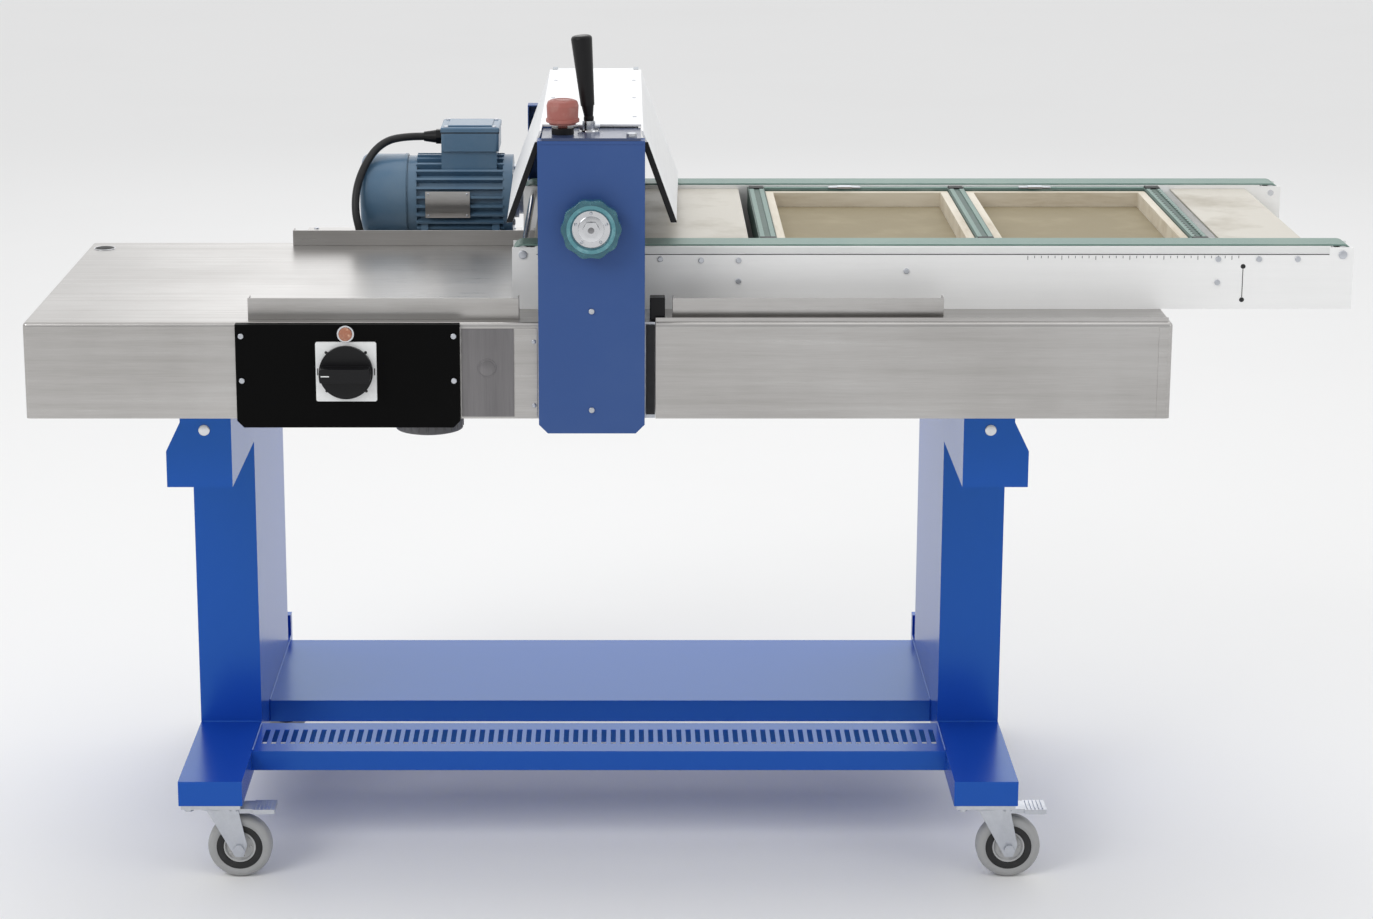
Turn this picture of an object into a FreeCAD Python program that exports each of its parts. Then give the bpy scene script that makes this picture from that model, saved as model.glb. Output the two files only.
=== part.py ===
import FreeCAD, Part
import math
import os

# A through-feed machine: stainless base on a wheeled stand, a bridge head with two
# rollers, and a bed whose two side belts carry trays through the head.
# The sizes below are in millimetres about the machine's own datum: X = 0 is the
# head's middle plane, Y = 0 the base's front face and Z = 0 the floor. The parts
# are written with the origin moved to the middle of the overall footprint.

V = FreeCAD.Vector
X_AXIS = V(1, 0, 0)
Y_AXIS = V(0, 1, 0)
Z_AXIS = V(0, 0, 1)

# ---- fits ----
RUNNING = 0.05          # radial clearance of a shaft in its bearing
CLEAR = 0.3             # smallest gap between parts that move apart
SLIDING = 0.5           # gap beside the trays and the bearing slides
SHEET = 2.0             # stainless sheet

# ---- stand ----
STAND_HEIGHT = 784.0    # floor to the underside of the base
STAND_LENGTH = 1301.0
STAND_MIDDLE = 6.5      # stand's middle, right of the head's middle
LEG_WIDTH = 99.0
LEG_WALL = 3.0
FOOT_FRONT = 140.0
FOOT_LENGTH = 738.0
FOOT_HEIGHT = 40.0
FOOT_END_RISE = 36.0    # upstand at the rear end of each foot
FOOT_END_THICK = 20.0
COLUMN_FRONT = 411.0
COLUMN_DEPTH = 401.0
BEAM_HEIGHT = 143.0
CABLE_WAY_R = 20.0      # hole in each column's top, under the base
BEAM_SHOULDER = 56.0    # height at which the beam's outer side starts to slope in
BEAM_SLOPE = 45.0
BEAM_STEP = 22.0
SHELF_FRONT = 520.0
SHELF_DEPTH = 318.0
SHELF_SKIRT = 37.0
BAR_FRONT = 273.0
BAR_DEPTH = 130.0
BAR_SKIRT = 32.0
BAR_PLAIN = 35.0        # plain band in front of the slots
SLOT_COUNT = 72
SLOT_LENGTH = 64.0
SLOT_WIDTH = 8.0

# ---- casters ----
CASTER_HEIGHT = 128.0
WHEEL_R = 50.0
WHEEL_WIDTH = 30.0
TYRE_DEPTH = 14.0
HUB_BORE_R = 6.0
CASTER_TRAIL = 40.0
CASTER_FRONT = 178.0
CASTER_REAR = 840.0
CASTER_PLATE = 92.0
CASTER_PLATE_DEPTH = 76.0
CASTER_PLATE_THICK = 6.0
CASTER_BOLT_X = 70.0
CASTER_BOLT_Y = 54.0
FORK_WALL = 3.0
FORK_GAP = 3.0          # between the tyre's side and the fork
CROWN_R = 26.0
CROWN_THICK = 6.0
KINGPIN_R = 6.0
PEDAL_REACH = 97.0
PEDAL_WIDTH = 34.0
PEDAL_THICK = 8.0
PEDAL_PIN_X = 31.0
PEDAL_PIN_R = 2.5

# ---- base ----
BASE_LEFT = 824.0       # head's middle to the table's left end
BASE_RIGHT = 841.0
BASE_HEIGHT = 143.0
BED_INNER = 460.0       # between the two rails
RIGHT_LIP = 6.0         # the right cover's front lip stands above its top
CORNER_R = 6.0
RECESS = 16.0           # open strip between the head cover and the right cover
PAN_THICK = 3.0
PANEL_LEFT = 515.0
PANEL_LENGTH = 324.0
PANEL_HEIGHT = 153.0
PANEL_DROP = 10.0       # the panel hangs this far below the base
PANEL_THICK = 14.0
PANEL_CORNER = 10.0
PANEL_SCREW_X = 307.0
PANEL_SCREW_Z = 33.0
PANEL_SCREW_DROP = 17.0
SWITCH_X = -355.0
SWITCH_ABOVE = 74.0     # switch and lamp above the base's underside
SWITCH_PLATE = 88.0
SWITCH_PLATE_THICK = 3.0
KNOB_R = 39.0
KNOB_THICK = 8.0
KNOB_GRIP_WIDTH = 20.0
KNOB_GRIP_HEIGHT = 22.0
KNOB_SHAFT_R = 5.0
LAMP_R = 11.5
LAMP_RISE = 9.0
LAMP_ABOVE = 130.0
FENCE_LENGTH = 394.0
FENCE_HEIGHT = 31.0
FENCE_FOOT = 22.0
FENCE_FRONT = 24.0
REAR_FENCE_HEIGHT = 25.0
LEFT_FENCE_X = -500.0
RIGHT_FENCE_X = 117.0
REAR_FENCE_X = -493.0
DECK_LEFT = 493.0
DECK_GAP = 16.0         # between the deck and the gear guard
DECK_DEPTH = 228.0
DECK_DROP = 18.0        # the deck lies this far below the table top
DECK_SKIRT = 60.0
FAN_X = -245.0
FAN_Y = 130.0
FAN_R = 50.0
FAN_DROP = 46.0

# ---- head ----
ROLLER_R = 45.0
ROLLER_WALL = 8.0
NIP = 6.0
JOURNAL_R = 12.0
LIFT = 6.0
CHEEK_WIDTH = 140.0
CHEEK_THICK = 12.0
CHEEK_FRONT = 30.0
CHEEK_ABOVE = 263.0     # cheeks, head cover and hood above the table top
TIE_R = 12.0
TIE_SPACING = 104.0
TIE_DROP = 25.0
SLIDE_BLOCK = 60.0
COVER_WIDTH = 153.0
COVER_DEPTH = 28.0
COVER_GAP = 1.0
COVER_DROP = 15.0       # the cover hangs this far below the base
COVER_ABOVE = 270.0
COVER_SHEET = 3.0
COVER_CORNER = 13.0
COVER_SCREW_RISES = (35.0, 181.0)
TOP_PLATE_WIDTH = 141.0
TOP_PLATE_DEPTH = 94.0
TOP_PLATE_THICK = 4.0
HOOD_WIDTH = 148.0
HOOD_ABOVE = 279.0
HOOD_SHEET = 3.0
HOOD_FRONT = 6.0
HOOD_LEAN = 0.36        # sideways run of a wing for each millimetre of drop
HOOD_FRONT_DROP = 133.0
HOOD_OVER_RAILS = 14.0
HINGE_R = 7.0
HINGE_PIN_R = 4.0
HINGE_EAR = 8.0
LEVER_X = -4.0
LEVER_Y = 40.0
LEVER_BASE_R = 9.5
LEVER_BASE_HEIGHT = 15.0
LEVER_BALL_R = 7.5
LEVER_BALL_RISE = 3.0
LEVER_LEAN = 5.0        # degrees to the left at rest
LEVER_SOCKET = 16.0
LEVER_GRIP = 101.0
LEVER_GRIP_R = 10.0
LEVER_TOP_R = 15.5
STOP_X = -41.0
STOP_Y = 12.0
STOP_COLLAR_R = 16.0
STOP_COLLAR_HEIGHT = 9.0
STOP_HEAD_R = 23.0
STOP_HEAD_HEIGHT = 35.0
STOP_GAP = 5.0
STOP_STEM_R = 7.0
HANDWHEEL_R = 43.5
HANDWHEEL_LOBES = 10
HANDWHEEL_LOBE_DEPTH = 2.6
HANDWHEEL_BORE_R = 27.0
HANDWHEEL_THICK = 16.0
HANDWHEEL_STAND_OFF = 14.0
SPINDLE_R = 7.0
HUB_THICK = 7.0
NUT_ACROSS = 22.0
NUT_THICK = 9.0

# ---- drive ----
ROLLER_TEETH = 16
PINION_TEETH = 10
WORM_TEETH = 30
WORM_MODULE = 2.0
BACKLASH = 1.0
STUB = 0.8              # addendum as a share of the module
GEAR_WIDTH = 18.0
GEAR_GAP = 4.0          # between the rear cheek and the gears
GUARD_SHEET = 2.0
GUARD_GAP = 7.0         # between the gears' tips and the guard
MOTOR_ABOVE = 54.0      # motor axis above the table top
WORM_CENTRES = 40.0
GEARBOX_WIDTH = 78.0
GEARBOX_R = 50.0
GEARBOX_RIGHT = 14.0
WORM_HOUSING_R = 32.0
PINION_SHAFT_R = 10.0
MOTOR_R = 70.0
MOTOR_CORE_R = 58.0
MOTOR_BORE_R = 42.0
MOTOR_LEFT = 392.0
MOTOR_RIGHT = 139.0
FIN_COUNT = 28
FIN_THICK = 4.0
COWL_LENGTH = 78.0
COWL_WALL = 2.0
END_BELL = 16.0
MOTOR_SHAFT_R = 9.0
ROTOR_R = 41.0
ROTOR_LENGTH = 96.0
FAN_BLADE_R = 58.0
WORM_R = 7.6
TERMINAL_LEFT = 257.0
TERMINAL_RIGHT = 161.0
TERMINAL_DEPTH = 96.0
TERMINAL_NECK = 32.0    # height of the seat under the box, from the motor's back
TERMINAL_FOOT = 81.0    # box and gland above the motor's axis
TERMINAL_HEIGHT = 32.0
TERMINAL_LID = 8.0
GLAND_R = 12.0
GLAND_LENGTH = 32.0
GLAND_ABOVE = 99.0
CABLE_R = 6.5

# ---- bed ----
BED_LEFT = 118.0
BED_RIGHT = 1119.0
BED_FRONT = 93.0
RAIL_WIDTH = 56.0
ROLLER_OVER_TABLE = 6.5
RAIL_WALL = 3.0
RAIL_TOP_WALL = 5.0
BELT_EDGE = 4.0         # rail left bare on each side of the belt
BELT_THICK = 2.2
PULLEY_R = 12.5
PULLEY_AXLE_R = 5.0
PULLEY_SET_BACK = 16.0
RAIL_END_CUT = 34.0     # length of the belt's wrap, open above the axle cheeks
RAIL_CHEEK_RISE = 6.0
PLATE_THICK = 4.0
PLATE_DROP = 8.0        # bed plates lie this far below the belts
INFEED_PLATE = (-88.0, -50.0)
MIDDLE_PLATE = (52.0, 233.0)
END_PLATE = (938.0, 1061.0)
END_SLOPE_RUN = 54.0
END_SLOPE_DROP = 49.0
FRAME_LEFT = 248.0
CROSSBAR = 27.0
POCKET_LENGTHS = (298.0, 293.0)
FRAME_DROP = 5.0
FRAME_HEIGHT = 38.0
SIDE_BAR = 22.0
LEDGE = 10.0
LEDGE_THICK = 5.0
TRAY_WALL = 13.0
TRAY_HEIGHT = 29.0
TRAY_FLOOR = 5.0
TRAY_RIM_DROP = 3.0     # tray rim below the frame's top

# ---- fasteners ----
SCREW_HEAD_R = 4.2
SCREW_HEAD_HEIGHT = 2.4
SCREW_R = 2.0
SCREW_SHANK = 5.0
HEX_ACROSS = 13.0
HEX_HEIGHT = 5.3
HEX_R = 4.0
HEX_SHANK = 5.0

# ---- sizes that follow ----
TABLE_Z = STAND_HEIGHT + BASE_HEIGHT
FOOT_TOP = CASTER_HEIGHT + FOOT_HEIGHT
FOOT_REAR = FOOT_FRONT + FOOT_LENGTH
LEG_LEFT = STAND_MIDDLE - STAND_LENGTH / 2
LEG_RIGHT = STAND_MIDDLE + STAND_LENGTH / 2 - LEG_WIDTH
SPAN_LEFT = LEG_LEFT + LEG_WIDTH
SPAN_RIGHT = LEG_RIGHT
RAIL_HEIGHT = 2 * ROLLER_R + ROLLER_OVER_TABLE - CLEAR - BELT_THICK
BED_Z = TABLE_Z + RAIL_HEIGHT
BELT_Z = BED_Z + CLEAR + BELT_THICK
LOWER_Z = BELT_Z - ROLLER_R
UPPER_Z = LOWER_Z + 2 * ROLLER_R + NIP
MODULE = (2 * ROLLER_R + NIP) / ROLLER_TEETH
PITCH_R = MODULE * ROLLER_TEETH / 2
PINION_R = MODULE * PINION_TEETH / 2
TIP_RISE = STUB * MODULE
MOTOR_Z = TABLE_Z + MOTOR_ABOVE
OUTPUT_Z = MOTOR_Z - WORM_CENTRES
OUTPUT_X = -math.sqrt((PITCH_R + PINION_R) ** 2 - (LOWER_Z - OUTPUT_Z) ** 2)
RAIL_INNER_FRONT = BED_FRONT + RAIL_WIDTH
REAR_RAIL_FRONT = RAIL_INNER_FRONT + BED_INNER
BELT_WIDTH = RAIL_WIDTH - 2 * BELT_EDGE
TABLE_DEPTH = REAR_RAIL_FRONT - 3.0
CHEEK_REAR = REAR_RAIL_FRONT + RAIL_WIDTH + 2.0
CHEEK_BACK = CHEEK_REAR + CHEEK_THICK
RIGHT_DEPTH = CHEEK_BACK + 5.0
HINGE_Y = CHEEK_REAR - 7.0
HOOD_REAR = HINGE_Y - 2 * HINGE_R - 1.0
GEAR_FRONT = CHEEK_BACK + GEAR_GAP
GUARD_BACK = GEAR_FRONT + GEAR_WIDTH + GEAR_GAP + GUARD_SHEET
GUARD_LEFT = PINION_R + TIP_RISE + GUARD_GAP + GUARD_SHEET - OUTPUT_X
GUARD_RIGHT = PITCH_R + TIP_RISE + GUARD_GAP + GUARD_SHEET
GUARD_BOTTOM = OUTPUT_Z - PINION_R - TIP_RISE - GUARD_GAP - GUARD_SHEET
GUARD_TOP = UPPER_Z + LIFT + GUARD_RIGHT
MOTOR_Y = GUARD_BACK + GEARBOX_WIDTH / 2
SWITCH_Z = STAND_HEIGHT + SWITCH_ABOVE
LAMP_Z = STAND_HEIGHT + LAMP_ABOVE
CHEEK_TOP = TABLE_Z + CHEEK_ABOVE
COVER_TOP = TABLE_Z + COVER_ABOVE
HOOD_TOP = TABLE_Z + HOOD_ABOVE
HOOD_REAR_DROP = HOOD_TOP - BED_Z - HOOD_OVER_RAILS
TOP_PLATE_Z = COVER_TOP + TOP_PLATE_THICK
TERMINAL_NECK_TOP = MOTOR_Z + TERMINAL_FOOT
TERMINAL_TOP = TERMINAL_NECK_TOP + TERMINAL_HEIGHT
GLAND_Z = MOTOR_Z + GLAND_ABOVE
COVER_BACK = -COVER_GAP
COVER_FRONT = COVER_BACK - COVER_DEPTH
WHEEL_RING_FRONT = COVER_FRONT - HANDWHEEL_STAND_OFF - HANDWHEEL_THICK
RIM_MIDDLE = COVER_FRONT - HANDWHEEL_STAND_OFF - HANDWHEEL_THICK / 2
NUT_FRONT = RIM_MIDDLE - HUB_THICK / 2 - NUT_THICK
DECK_RIGHT = GUARD_LEFT + DECK_GAP
DECK_Z = TABLE_Z - DECK_DROP
PULLEY_Z = BELT_Z - PULLEY_R - CLEAR - BELT_THICK
DRIVE_PULLEY_X = -BED_LEFT + PULLEY_SET_BACK
TAIL_PULLEY_X = BED_RIGHT - PULLEY_SET_BACK
TOP_BOLT = V(TOP_PLATE_WIDTH / 2 - HEX_ACROSS, COVER_FRONT + HEX_ACROSS, TOP_PLATE_Z)
PEDESTAL_RIGHT = COVER_WIDTH / 2 + RECESS - 2 * CLEAR
ORIGIN = V((BED_RIGHT - BASE_LEFT) / 2, (NUT_FRONT + FOOT_REAR) / 2, 0)


def write(node, *solids):
    """Writes one node, moved from the machine's datum to its origin."""
    moved = []
    for solid in solids:
        copy = solid.copy()
        copy.translate(ORIGIN * -1)
        moved.append(copy)
    shape = moved[0] if len(moved) == 1 else Part.makeCompound(moved)
    shape.exportStep("parts/" + node + ".step")


def box(x0, x1, y0, y1, z0, z1):
    return Part.makeBox(x1 - x0, y1 - y0, z1 - z0, V(x0, y0, z0))


def rod(radius, start, axis, length):
    return Part.makeCylinder(radius, length, start, axis)


def ring(outer, inner, start, axis, length):
    return rod(outer, start, axis, length).cut(rod(inner, start, axis, length))


def prism(points, run):
    """The closed outline through the points, pushed along run."""
    return Part.Face(Part.makePolygon(points + points[:1])).extrude(run)


def fused(*solids):
    shape = solids[0].fuse(list(solids[1:])).removeSplitter()
    return shape.Solids[0]


def cut(solid, *tools):
    return solid.cut(Part.makeCompound(list(tools))).Solids[0]


def revolved(profile, centre):
    """Turns a profile of (radius, height) points about a vertical line."""
    points = [centre + V(r, 0, z) for r, z in profile]
    face = Part.Face(Part.makePolygon(points + points[:1]))
    return face.revolve(centre, Z_AXIS, 360)


def hexagon(across, start, axis, length):
    """A hexagonal prism of the given size across its flats."""
    side = X_AXIS if abs(axis.x) < 0.5 else Y_AXIS
    other = axis.cross(side)
    reach = across / math.sqrt(3)
    corners = []
    for k in range(6):
        angle = math.radians(60 * k)
        corners.append(start + side * (reach * math.cos(angle)) + other * (reach * math.sin(angle)))
    return prism(corners, axis * length)


def screw(seat, out):
    """A pan-head screw whose head sits on seat and points out."""
    head = rod(SCREW_HEAD_R, seat, out, SCREW_HEAD_HEIGHT)
    top = seat + out * SCREW_HEAD_HEIGHT
    rim = [edge for edge in head.Edges if edge.Closed and (edge.CenterOfMass - top).Length < 0.1]
    head = head.makeFillet(SCREW_HEAD_HEIGHT / 2, rim)
    return head.fuse(rod(SCREW_R, seat, out * -1, SCREW_SHANK)).Solids[0]


def screw_hole(seat, out):
    return rod(SCREW_R + RUNNING, seat + out, out * -1, SCREW_SHANK + 2)


def hex_bolt(seat, out):
    head = hexagon(HEX_ACROSS, seat, out, HEX_HEIGHT)
    return head.fuse(rod(HEX_R, seat, out * -1, HEX_SHANK)).Solids[0]


def hex_hole(seat, out):
    return rod(HEX_R + RUNNING, seat + out, out * -1, HEX_SHANK + 2)


def gear_outline(teeth, module, backlash, phase):
    """Points (angle, radius) round a stub-tooth involute gear; a tooth points at phase."""
    pressure = math.radians(20)
    pitch = module * teeth / 2
    base = pitch * math.cos(pressure)
    root = pitch - module
    tip = pitch + STUB * module
    half_pitch = math.pi / (2 * teeth) - backlash / (4 * pitch)
    start = max(base, root)
    flank = [start + (tip - start) * k / 4 for k in range(5)]
    half = []
    for radius in flank:
        reach = math.acos(min(1.0, base / radius))
        roll = math.tan(pressure) - pressure - (math.tan(reach) - reach)
        half.append((half_pitch + roll, radius))
    if root < base:
        half.insert(0, (half[0][0], root))
    points = []
    for k in range(teeth):
        middle = phase + 2 * math.pi * k / teeth
        points += [(middle - a, r) for a, r in half]
        points += [(middle + a, r) for a, r in reversed(half)]
    return points


def gear(teeth, module, backlash, phase, axle, y0, width):
    """A gear about an axis along Y through axle, a point (x, z)."""
    outline = []
    for angle, radius in gear_outline(teeth, module, backlash, phase):
        outline.append(V(axle[0] + radius * math.cos(angle), y0, axle[1] + radius * math.sin(angle)))
    return prism(outline, Y_AXIS * width)


# ---------------------------------------------------------------- stand
def beam_outline(x_outer, side, inset):
    """The top beam's section in XZ; side is the way from its outer face inwards."""
    bottom = STAND_HEIGHT - BEAM_HEIGHT
    slope = math.hypot(BEAM_SLOPE, BEAM_STEP)
    shift = inset * (slope - BEAM_SLOPE) / BEAM_STEP
    outer = x_outer + side * inset
    stepped = x_outer + side * (BEAM_STEP + inset)
    inner = x_outer + side * (LEG_WIDTH - inset)
    return [
        (outer, bottom + inset),
        (outer, bottom + BEAM_SHOULDER - shift),
        (stepped, bottom + BEAM_SHOULDER + BEAM_SLOPE - shift),
        (stepped, STAND_HEIGHT - inset),
        (inner, STAND_HEIGHT - inset),
        (inner, bottom + inset),
    ]


def leg_frame(x_low, x_outer, side):
    """Foot, column and top beam welded into one hollow leg frame."""
    x_high = x_low + LEG_WIDTH
    wall = LEG_WALL
    column_back = COLUMN_FRONT + COLUMN_DEPTH
    foot = box(x_low, x_high, FOOT_FRONT, FOOT_REAR, CASTER_HEIGHT, FOOT_TOP)
    column = box(x_low, x_high, COLUMN_FRONT, column_back, FOOT_TOP, STAND_HEIGHT)
    outline = [V(x, FOOT_FRONT, z) for x, z in beam_outline(x_outer, side, 0)]
    beam = prism(outline, Y_AXIS * (COLUMN_FRONT - FOOT_FRONT))
    rise = box(x_low, x_high, FOOT_REAR - FOOT_END_THICK, FOOT_REAR, FOOT_TOP, FOOT_TOP + FOOT_END_RISE)
    outside = fused(foot, column, beam, rise)
    hollow_foot = box(x_low + wall, x_high - wall, FOOT_FRONT + wall, FOOT_REAR - wall,
                      CASTER_HEIGHT + wall, FOOT_TOP - wall)
    hollow_column = box(x_low + wall, x_high - wall, COLUMN_FRONT + wall, column_back - wall,
                        FOOT_TOP - wall - 1, STAND_HEIGHT - wall)
    way_start = V(x_low + LEG_WIDTH / 2, COLUMN_FRONT + LEG_WIDTH / 2, STAND_HEIGHT - wall - 1)
    cable_way = rod(CABLE_WAY_R, way_start, Z_AXIS, wall + 2)
    outline = [V(x, FOOT_FRONT + wall, z) for x, z in beam_outline(x_outer, side, wall)]
    hollow_beam = prism(outline, Y_AXIS * (COLUMN_FRONT - FOOT_FRONT))
    hollow = hollow_foot.fuse([hollow_column, hollow_beam, cable_way])
    return outside.cut(hollow)


def channel(x0, x1, y0, y1, top, skirt, wall):
    """A sheet folded down along its front and back edges."""
    plate = box(x0, x1, y0, y1, top - skirt, top)
    return plate.cut(box(x0 - 1, x1 + 1, y0 + wall, y1 - wall, top - skirt - 1, top - wall))


def build_stand():
    bolts = []
    holes = []
    for plate in caster_places():
        for dx in (-CASTER_BOLT_X / 2, CASTER_BOLT_X / 2):
            for dy in (-CASTER_BOLT_Y / 2, CASTER_BOLT_Y / 2):
                seat = plate + V(dx, dy, CASTER_HEIGHT - CASTER_PLATE_THICK)
                bolts.append(hex_bolt(seat, Z_AXIS * -1))
                holes.append(rod(HEX_R + RUNNING, seat, Z_AXIS, CASTER_PLATE_THICK + 1))
    bolts.append(hex_bolt(TOP_BOLT, Z_AXIS))
    left = cut(leg_frame(LEG_LEFT, LEG_LEFT, 1), *holes)
    right = cut(leg_frame(LEG_RIGHT, LEG_RIGHT + LEG_WIDTH, -1), *holes)
    write("leg_frame_left", left)
    write("leg_frame_right", right)
    write("lower_shelf", channel(SPAN_LEFT, SPAN_RIGHT, SHELF_FRONT, SHELF_FRONT + SHELF_DEPTH,
                                 FOOT_TOP - LEG_WALL, SHELF_SKIRT, LEG_WALL))
    bar_top = CASTER_HEIGHT + BAR_SKIRT + LEG_WALL + HEX_HEIGHT
    bar = channel(SPAN_LEFT, SPAN_RIGHT, BAR_FRONT, BAR_FRONT + BAR_DEPTH, bar_top, BAR_SKIRT, LEG_WALL)
    pitch = (SPAN_RIGHT - SPAN_LEFT) / (SLOT_COUNT + 1)
    slots = []
    for k in range(SLOT_COUNT):
        middle = SPAN_LEFT + pitch * (k + 1)
        y0 = BAR_FRONT + BAR_PLAIN
        slots.append(box(middle - SLOT_WIDTH / 2, middle + SLOT_WIDTH / 2, y0, y0 + SLOT_LENGTH,
                         bar_top - LEG_WALL - 1, bar_top + 1))
    write("slotted_crossbar", bar.cut(Part.makeCompound(slots)))
    write("hex_bolts", *bolts)
    plates = []
    for plate in caster_places():
        x, y = plate.x, plate.y
        low = CASTER_HEIGHT - CASTER_PLATE_THICK
        body = box(x - CASTER_PLATE / 2, x + CASTER_PLATE / 2, y - CASTER_PLATE_DEPTH / 2,
                   y + CASTER_PLATE_DEPTH / 2, low, CASTER_HEIGHT)
        pin = rod(KINGPIN_R, V(x, y, low - CLEAR - CROWN_THICK), Z_AXIS, CLEAR + CROWN_THICK + 1)
        plates.append(cut(fused(body, pin), *holes))
    write("caster_plates", *plates)


# ---------------------------------------------------------------- casters
def caster_places():
    """The swivel axes on the floor: front left, front right, rear left, rear right."""
    places = []
    for y in (CASTER_FRONT, CASTER_REAR):
        for x in (LEG_LEFT + LEG_WIDTH / 2, LEG_RIGHT + LEG_WIDTH / 2):
            places.append(V(x, y, 0))
    return places


def caster_fork(place, braked):
    """Crown and two cheeks, the axle bolt and, on a braked caster, the pedal's pin."""
    top = CASTER_HEIGHT - CASTER_PLATE_THICK - CLEAR
    low = top - CROWN_THICK
    half = WHEEL_WIDTH / 2 + FORK_GAP
    crown = rod(CROWN_R, place + V(0, 0, low), Z_AXIS, CROWN_THICK)
    bridge = box(place.x - CROWN_R / 2, place.x + CROWN_R, place.y - half - FORK_WALL,
                 place.y + half + FORK_WALL, low, top)
    axle = place + V(CASTER_TRAIL, 0, WHEEL_R)
    foot = 13.0
    outline = [
        V(place.x - CROWN_R / 2, 0, top),
        V(place.x + CROWN_R, 0, top),
        V(place.x + CROWN_R, 0, low),
        V(place.x + PEDAL_PIN_X + 8, 0, low),
        V(place.x + PEDAL_PIN_X + 10, 0, pedal_pin_z()),
        V(axle.x + foot, 0, WHEEL_R + foot / 2),
        V(axle.x + foot / 2, 0, WHEEL_R - foot),
        V(axle.x - foot / 2, 0, WHEEL_R - foot),
    ]
    cheeks = []
    for y in (place.y - half - FORK_WALL, place.y + half):
        cheeks.append(prism([V(p.x, y, p.z) for p in outline], Y_AXIS * FORK_WALL))
    fork = fused(crown, bridge, *cheeks)
    start = V(axle.x, place.y - half - FORK_WALL - 1, WHEEL_R)
    length = 2 * (half + FORK_WALL + 1)
    fork = cut(fork, rod(KINGPIN_R + RUNNING, place + V(0, 0, low - 1), Z_AXIS, CROWN_THICK + 2),
               rod(HUB_BORE_R - RUNNING, start, Y_AXIS, length))
    bolt = rod(HUB_BORE_R - RUNNING, start + Y_AXIS, Y_AXIS, length - 2)
    head = hexagon(HEX_ACROSS + 2, start + Y_AXIS, Y_AXIS * -1, HEX_HEIGHT)
    nut = hexagon(HEX_ACROSS + 2, start + Y_AXIS * (length - 1), Y_AXIS, HEX_HEIGHT)
    bolt = fused(bolt, head, nut)
    if not braked:
        return [fork, bolt]
    pin = rod(PEDAL_PIN_R, V(place.x + PEDAL_PIN_X, start.y + 1, pedal_pin_z()), Y_AXIS, length - 2)
    return [cut(fork, pin), bolt, pin]


def pedal_pin_z():
    return CASTER_HEIGHT - CASTER_PLATE_THICK - CLEAR - CROWN_THICK - PEDAL_THICK / 2


def brake_pedal(place):
    """A flat pedal hinged between the fork's cheeks, over the tyre."""
    z = pedal_pin_z()
    half = PEDAL_THICK / 2
    inside = WHEEL_WIDTH / 2 + FORK_GAP - CLEAR
    tongue = box(place.x + PEDAL_PIN_X - half, place.x + PEDAL_REACH - 30, place.y - inside,
                 place.y + inside, z - half + CLEAR, z + half - CLEAR)
    pad = box(place.x + PEDAL_REACH - 34, place.x + PEDAL_REACH, place.y - PEDAL_WIDTH / 2 - 4,
              place.y + PEDAL_WIDTH / 2 + 4, z - half + CLEAR, z + half - CLEAR)
    bore = rod(PEDAL_PIN_R + RUNNING, V(place.x + PEDAL_PIN_X, place.y - 40, z), Y_AXIS, 80)
    return cut(fused(tongue, pad), bore)


def build_casters():
    names = ("front_left", "front_right", "rear_left", "rear_right")
    for name, place in zip(names, caster_places()):
        braked = "front" in name
        write("caster_fork_" + name, *caster_fork(place, braked))
        y0 = place.y - WHEEL_WIDTH / 2
        centre = V(place.x + CASTER_TRAIL, y0, WHEEL_R)
        tyre = ring(WHEEL_R, WHEEL_R - TYRE_DEPTH, centre, Y_AXIS, WHEEL_WIDTH)
        rims = [e for e in tyre.Edges if e.Closed and abs(e.Curve.Radius - WHEEL_R) < 0.1]
        tyre = tyre.makeFillet(TYRE_DEPTH / 3, rims)
        hub = ring(WHEEL_R - TYRE_DEPTH, HUB_BORE_R, centre + Y_AXIS, Y_AXIS, WHEEL_WIDTH - 2)
        write("caster_wheel_" + name, tyre, hub)
        if braked:
            write("brake_pedal_" + name.split("_")[1], brake_pedal(place))


# ---------------------------------------------------------------- base
def rounded_cover(x0, x1, y1, rounded_x):
    """An open-bottomed box of sheet with its outer end corners and top edges rounded."""
    shell = box(x0, x1, 0, y1, STAND_HEIGHT, TABLE_Z)
    edges = []
    for edge in shell.Edges:
        middle = edge.CenterOfMass
        upright = abs(middle.x - rounded_x) < 0.1 and abs(middle.z - (STAND_HEIGHT + TABLE_Z) / 2) < 0.1
        along_top = middle.z > TABLE_Z - 0.1 and abs(middle.x - (x0 + x1 - rounded_x)) > 0.1
        if upright or along_top:
            edges.append(edge)
    shell = shell.makeFillet(CORNER_R, edges)
    inside = box(x0 + SHEET, x1 - SHEET, SHEET, y1 - SHEET, STAND_HEIGHT - 1, TABLE_Z - SHEET)
    edges = [e for e in inside.Edges if e.CenterOfMass.z > TABLE_Z - SHEET - 0.1
             or abs(e.CenterOfMass.z - (STAND_HEIGHT - 1 + TABLE_Z - SHEET) / 2) < 0.1]
    return shell.cut(inside.makeFillet(CORNER_R - SHEET, edges))


def fence(x0, y0, height):
    """A folded strip with closed ends, standing on the table."""
    x1 = x0 + FENCE_LENGTH
    top = TABLE_Z + height
    upright = box(x0, x1, y0, y0 + SHEET, TABLE_Z, top)
    foot = box(x0, x1, y0, y0 + FENCE_FOOT, TABLE_Z, TABLE_Z + SHEET)
    ends = [box(x, x + SHEET, y0, y0 + FENCE_FOOT, TABLE_Z, top) for x in (x0, x1 - SHEET)]
    return fused(upright, foot, *ends)


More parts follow.
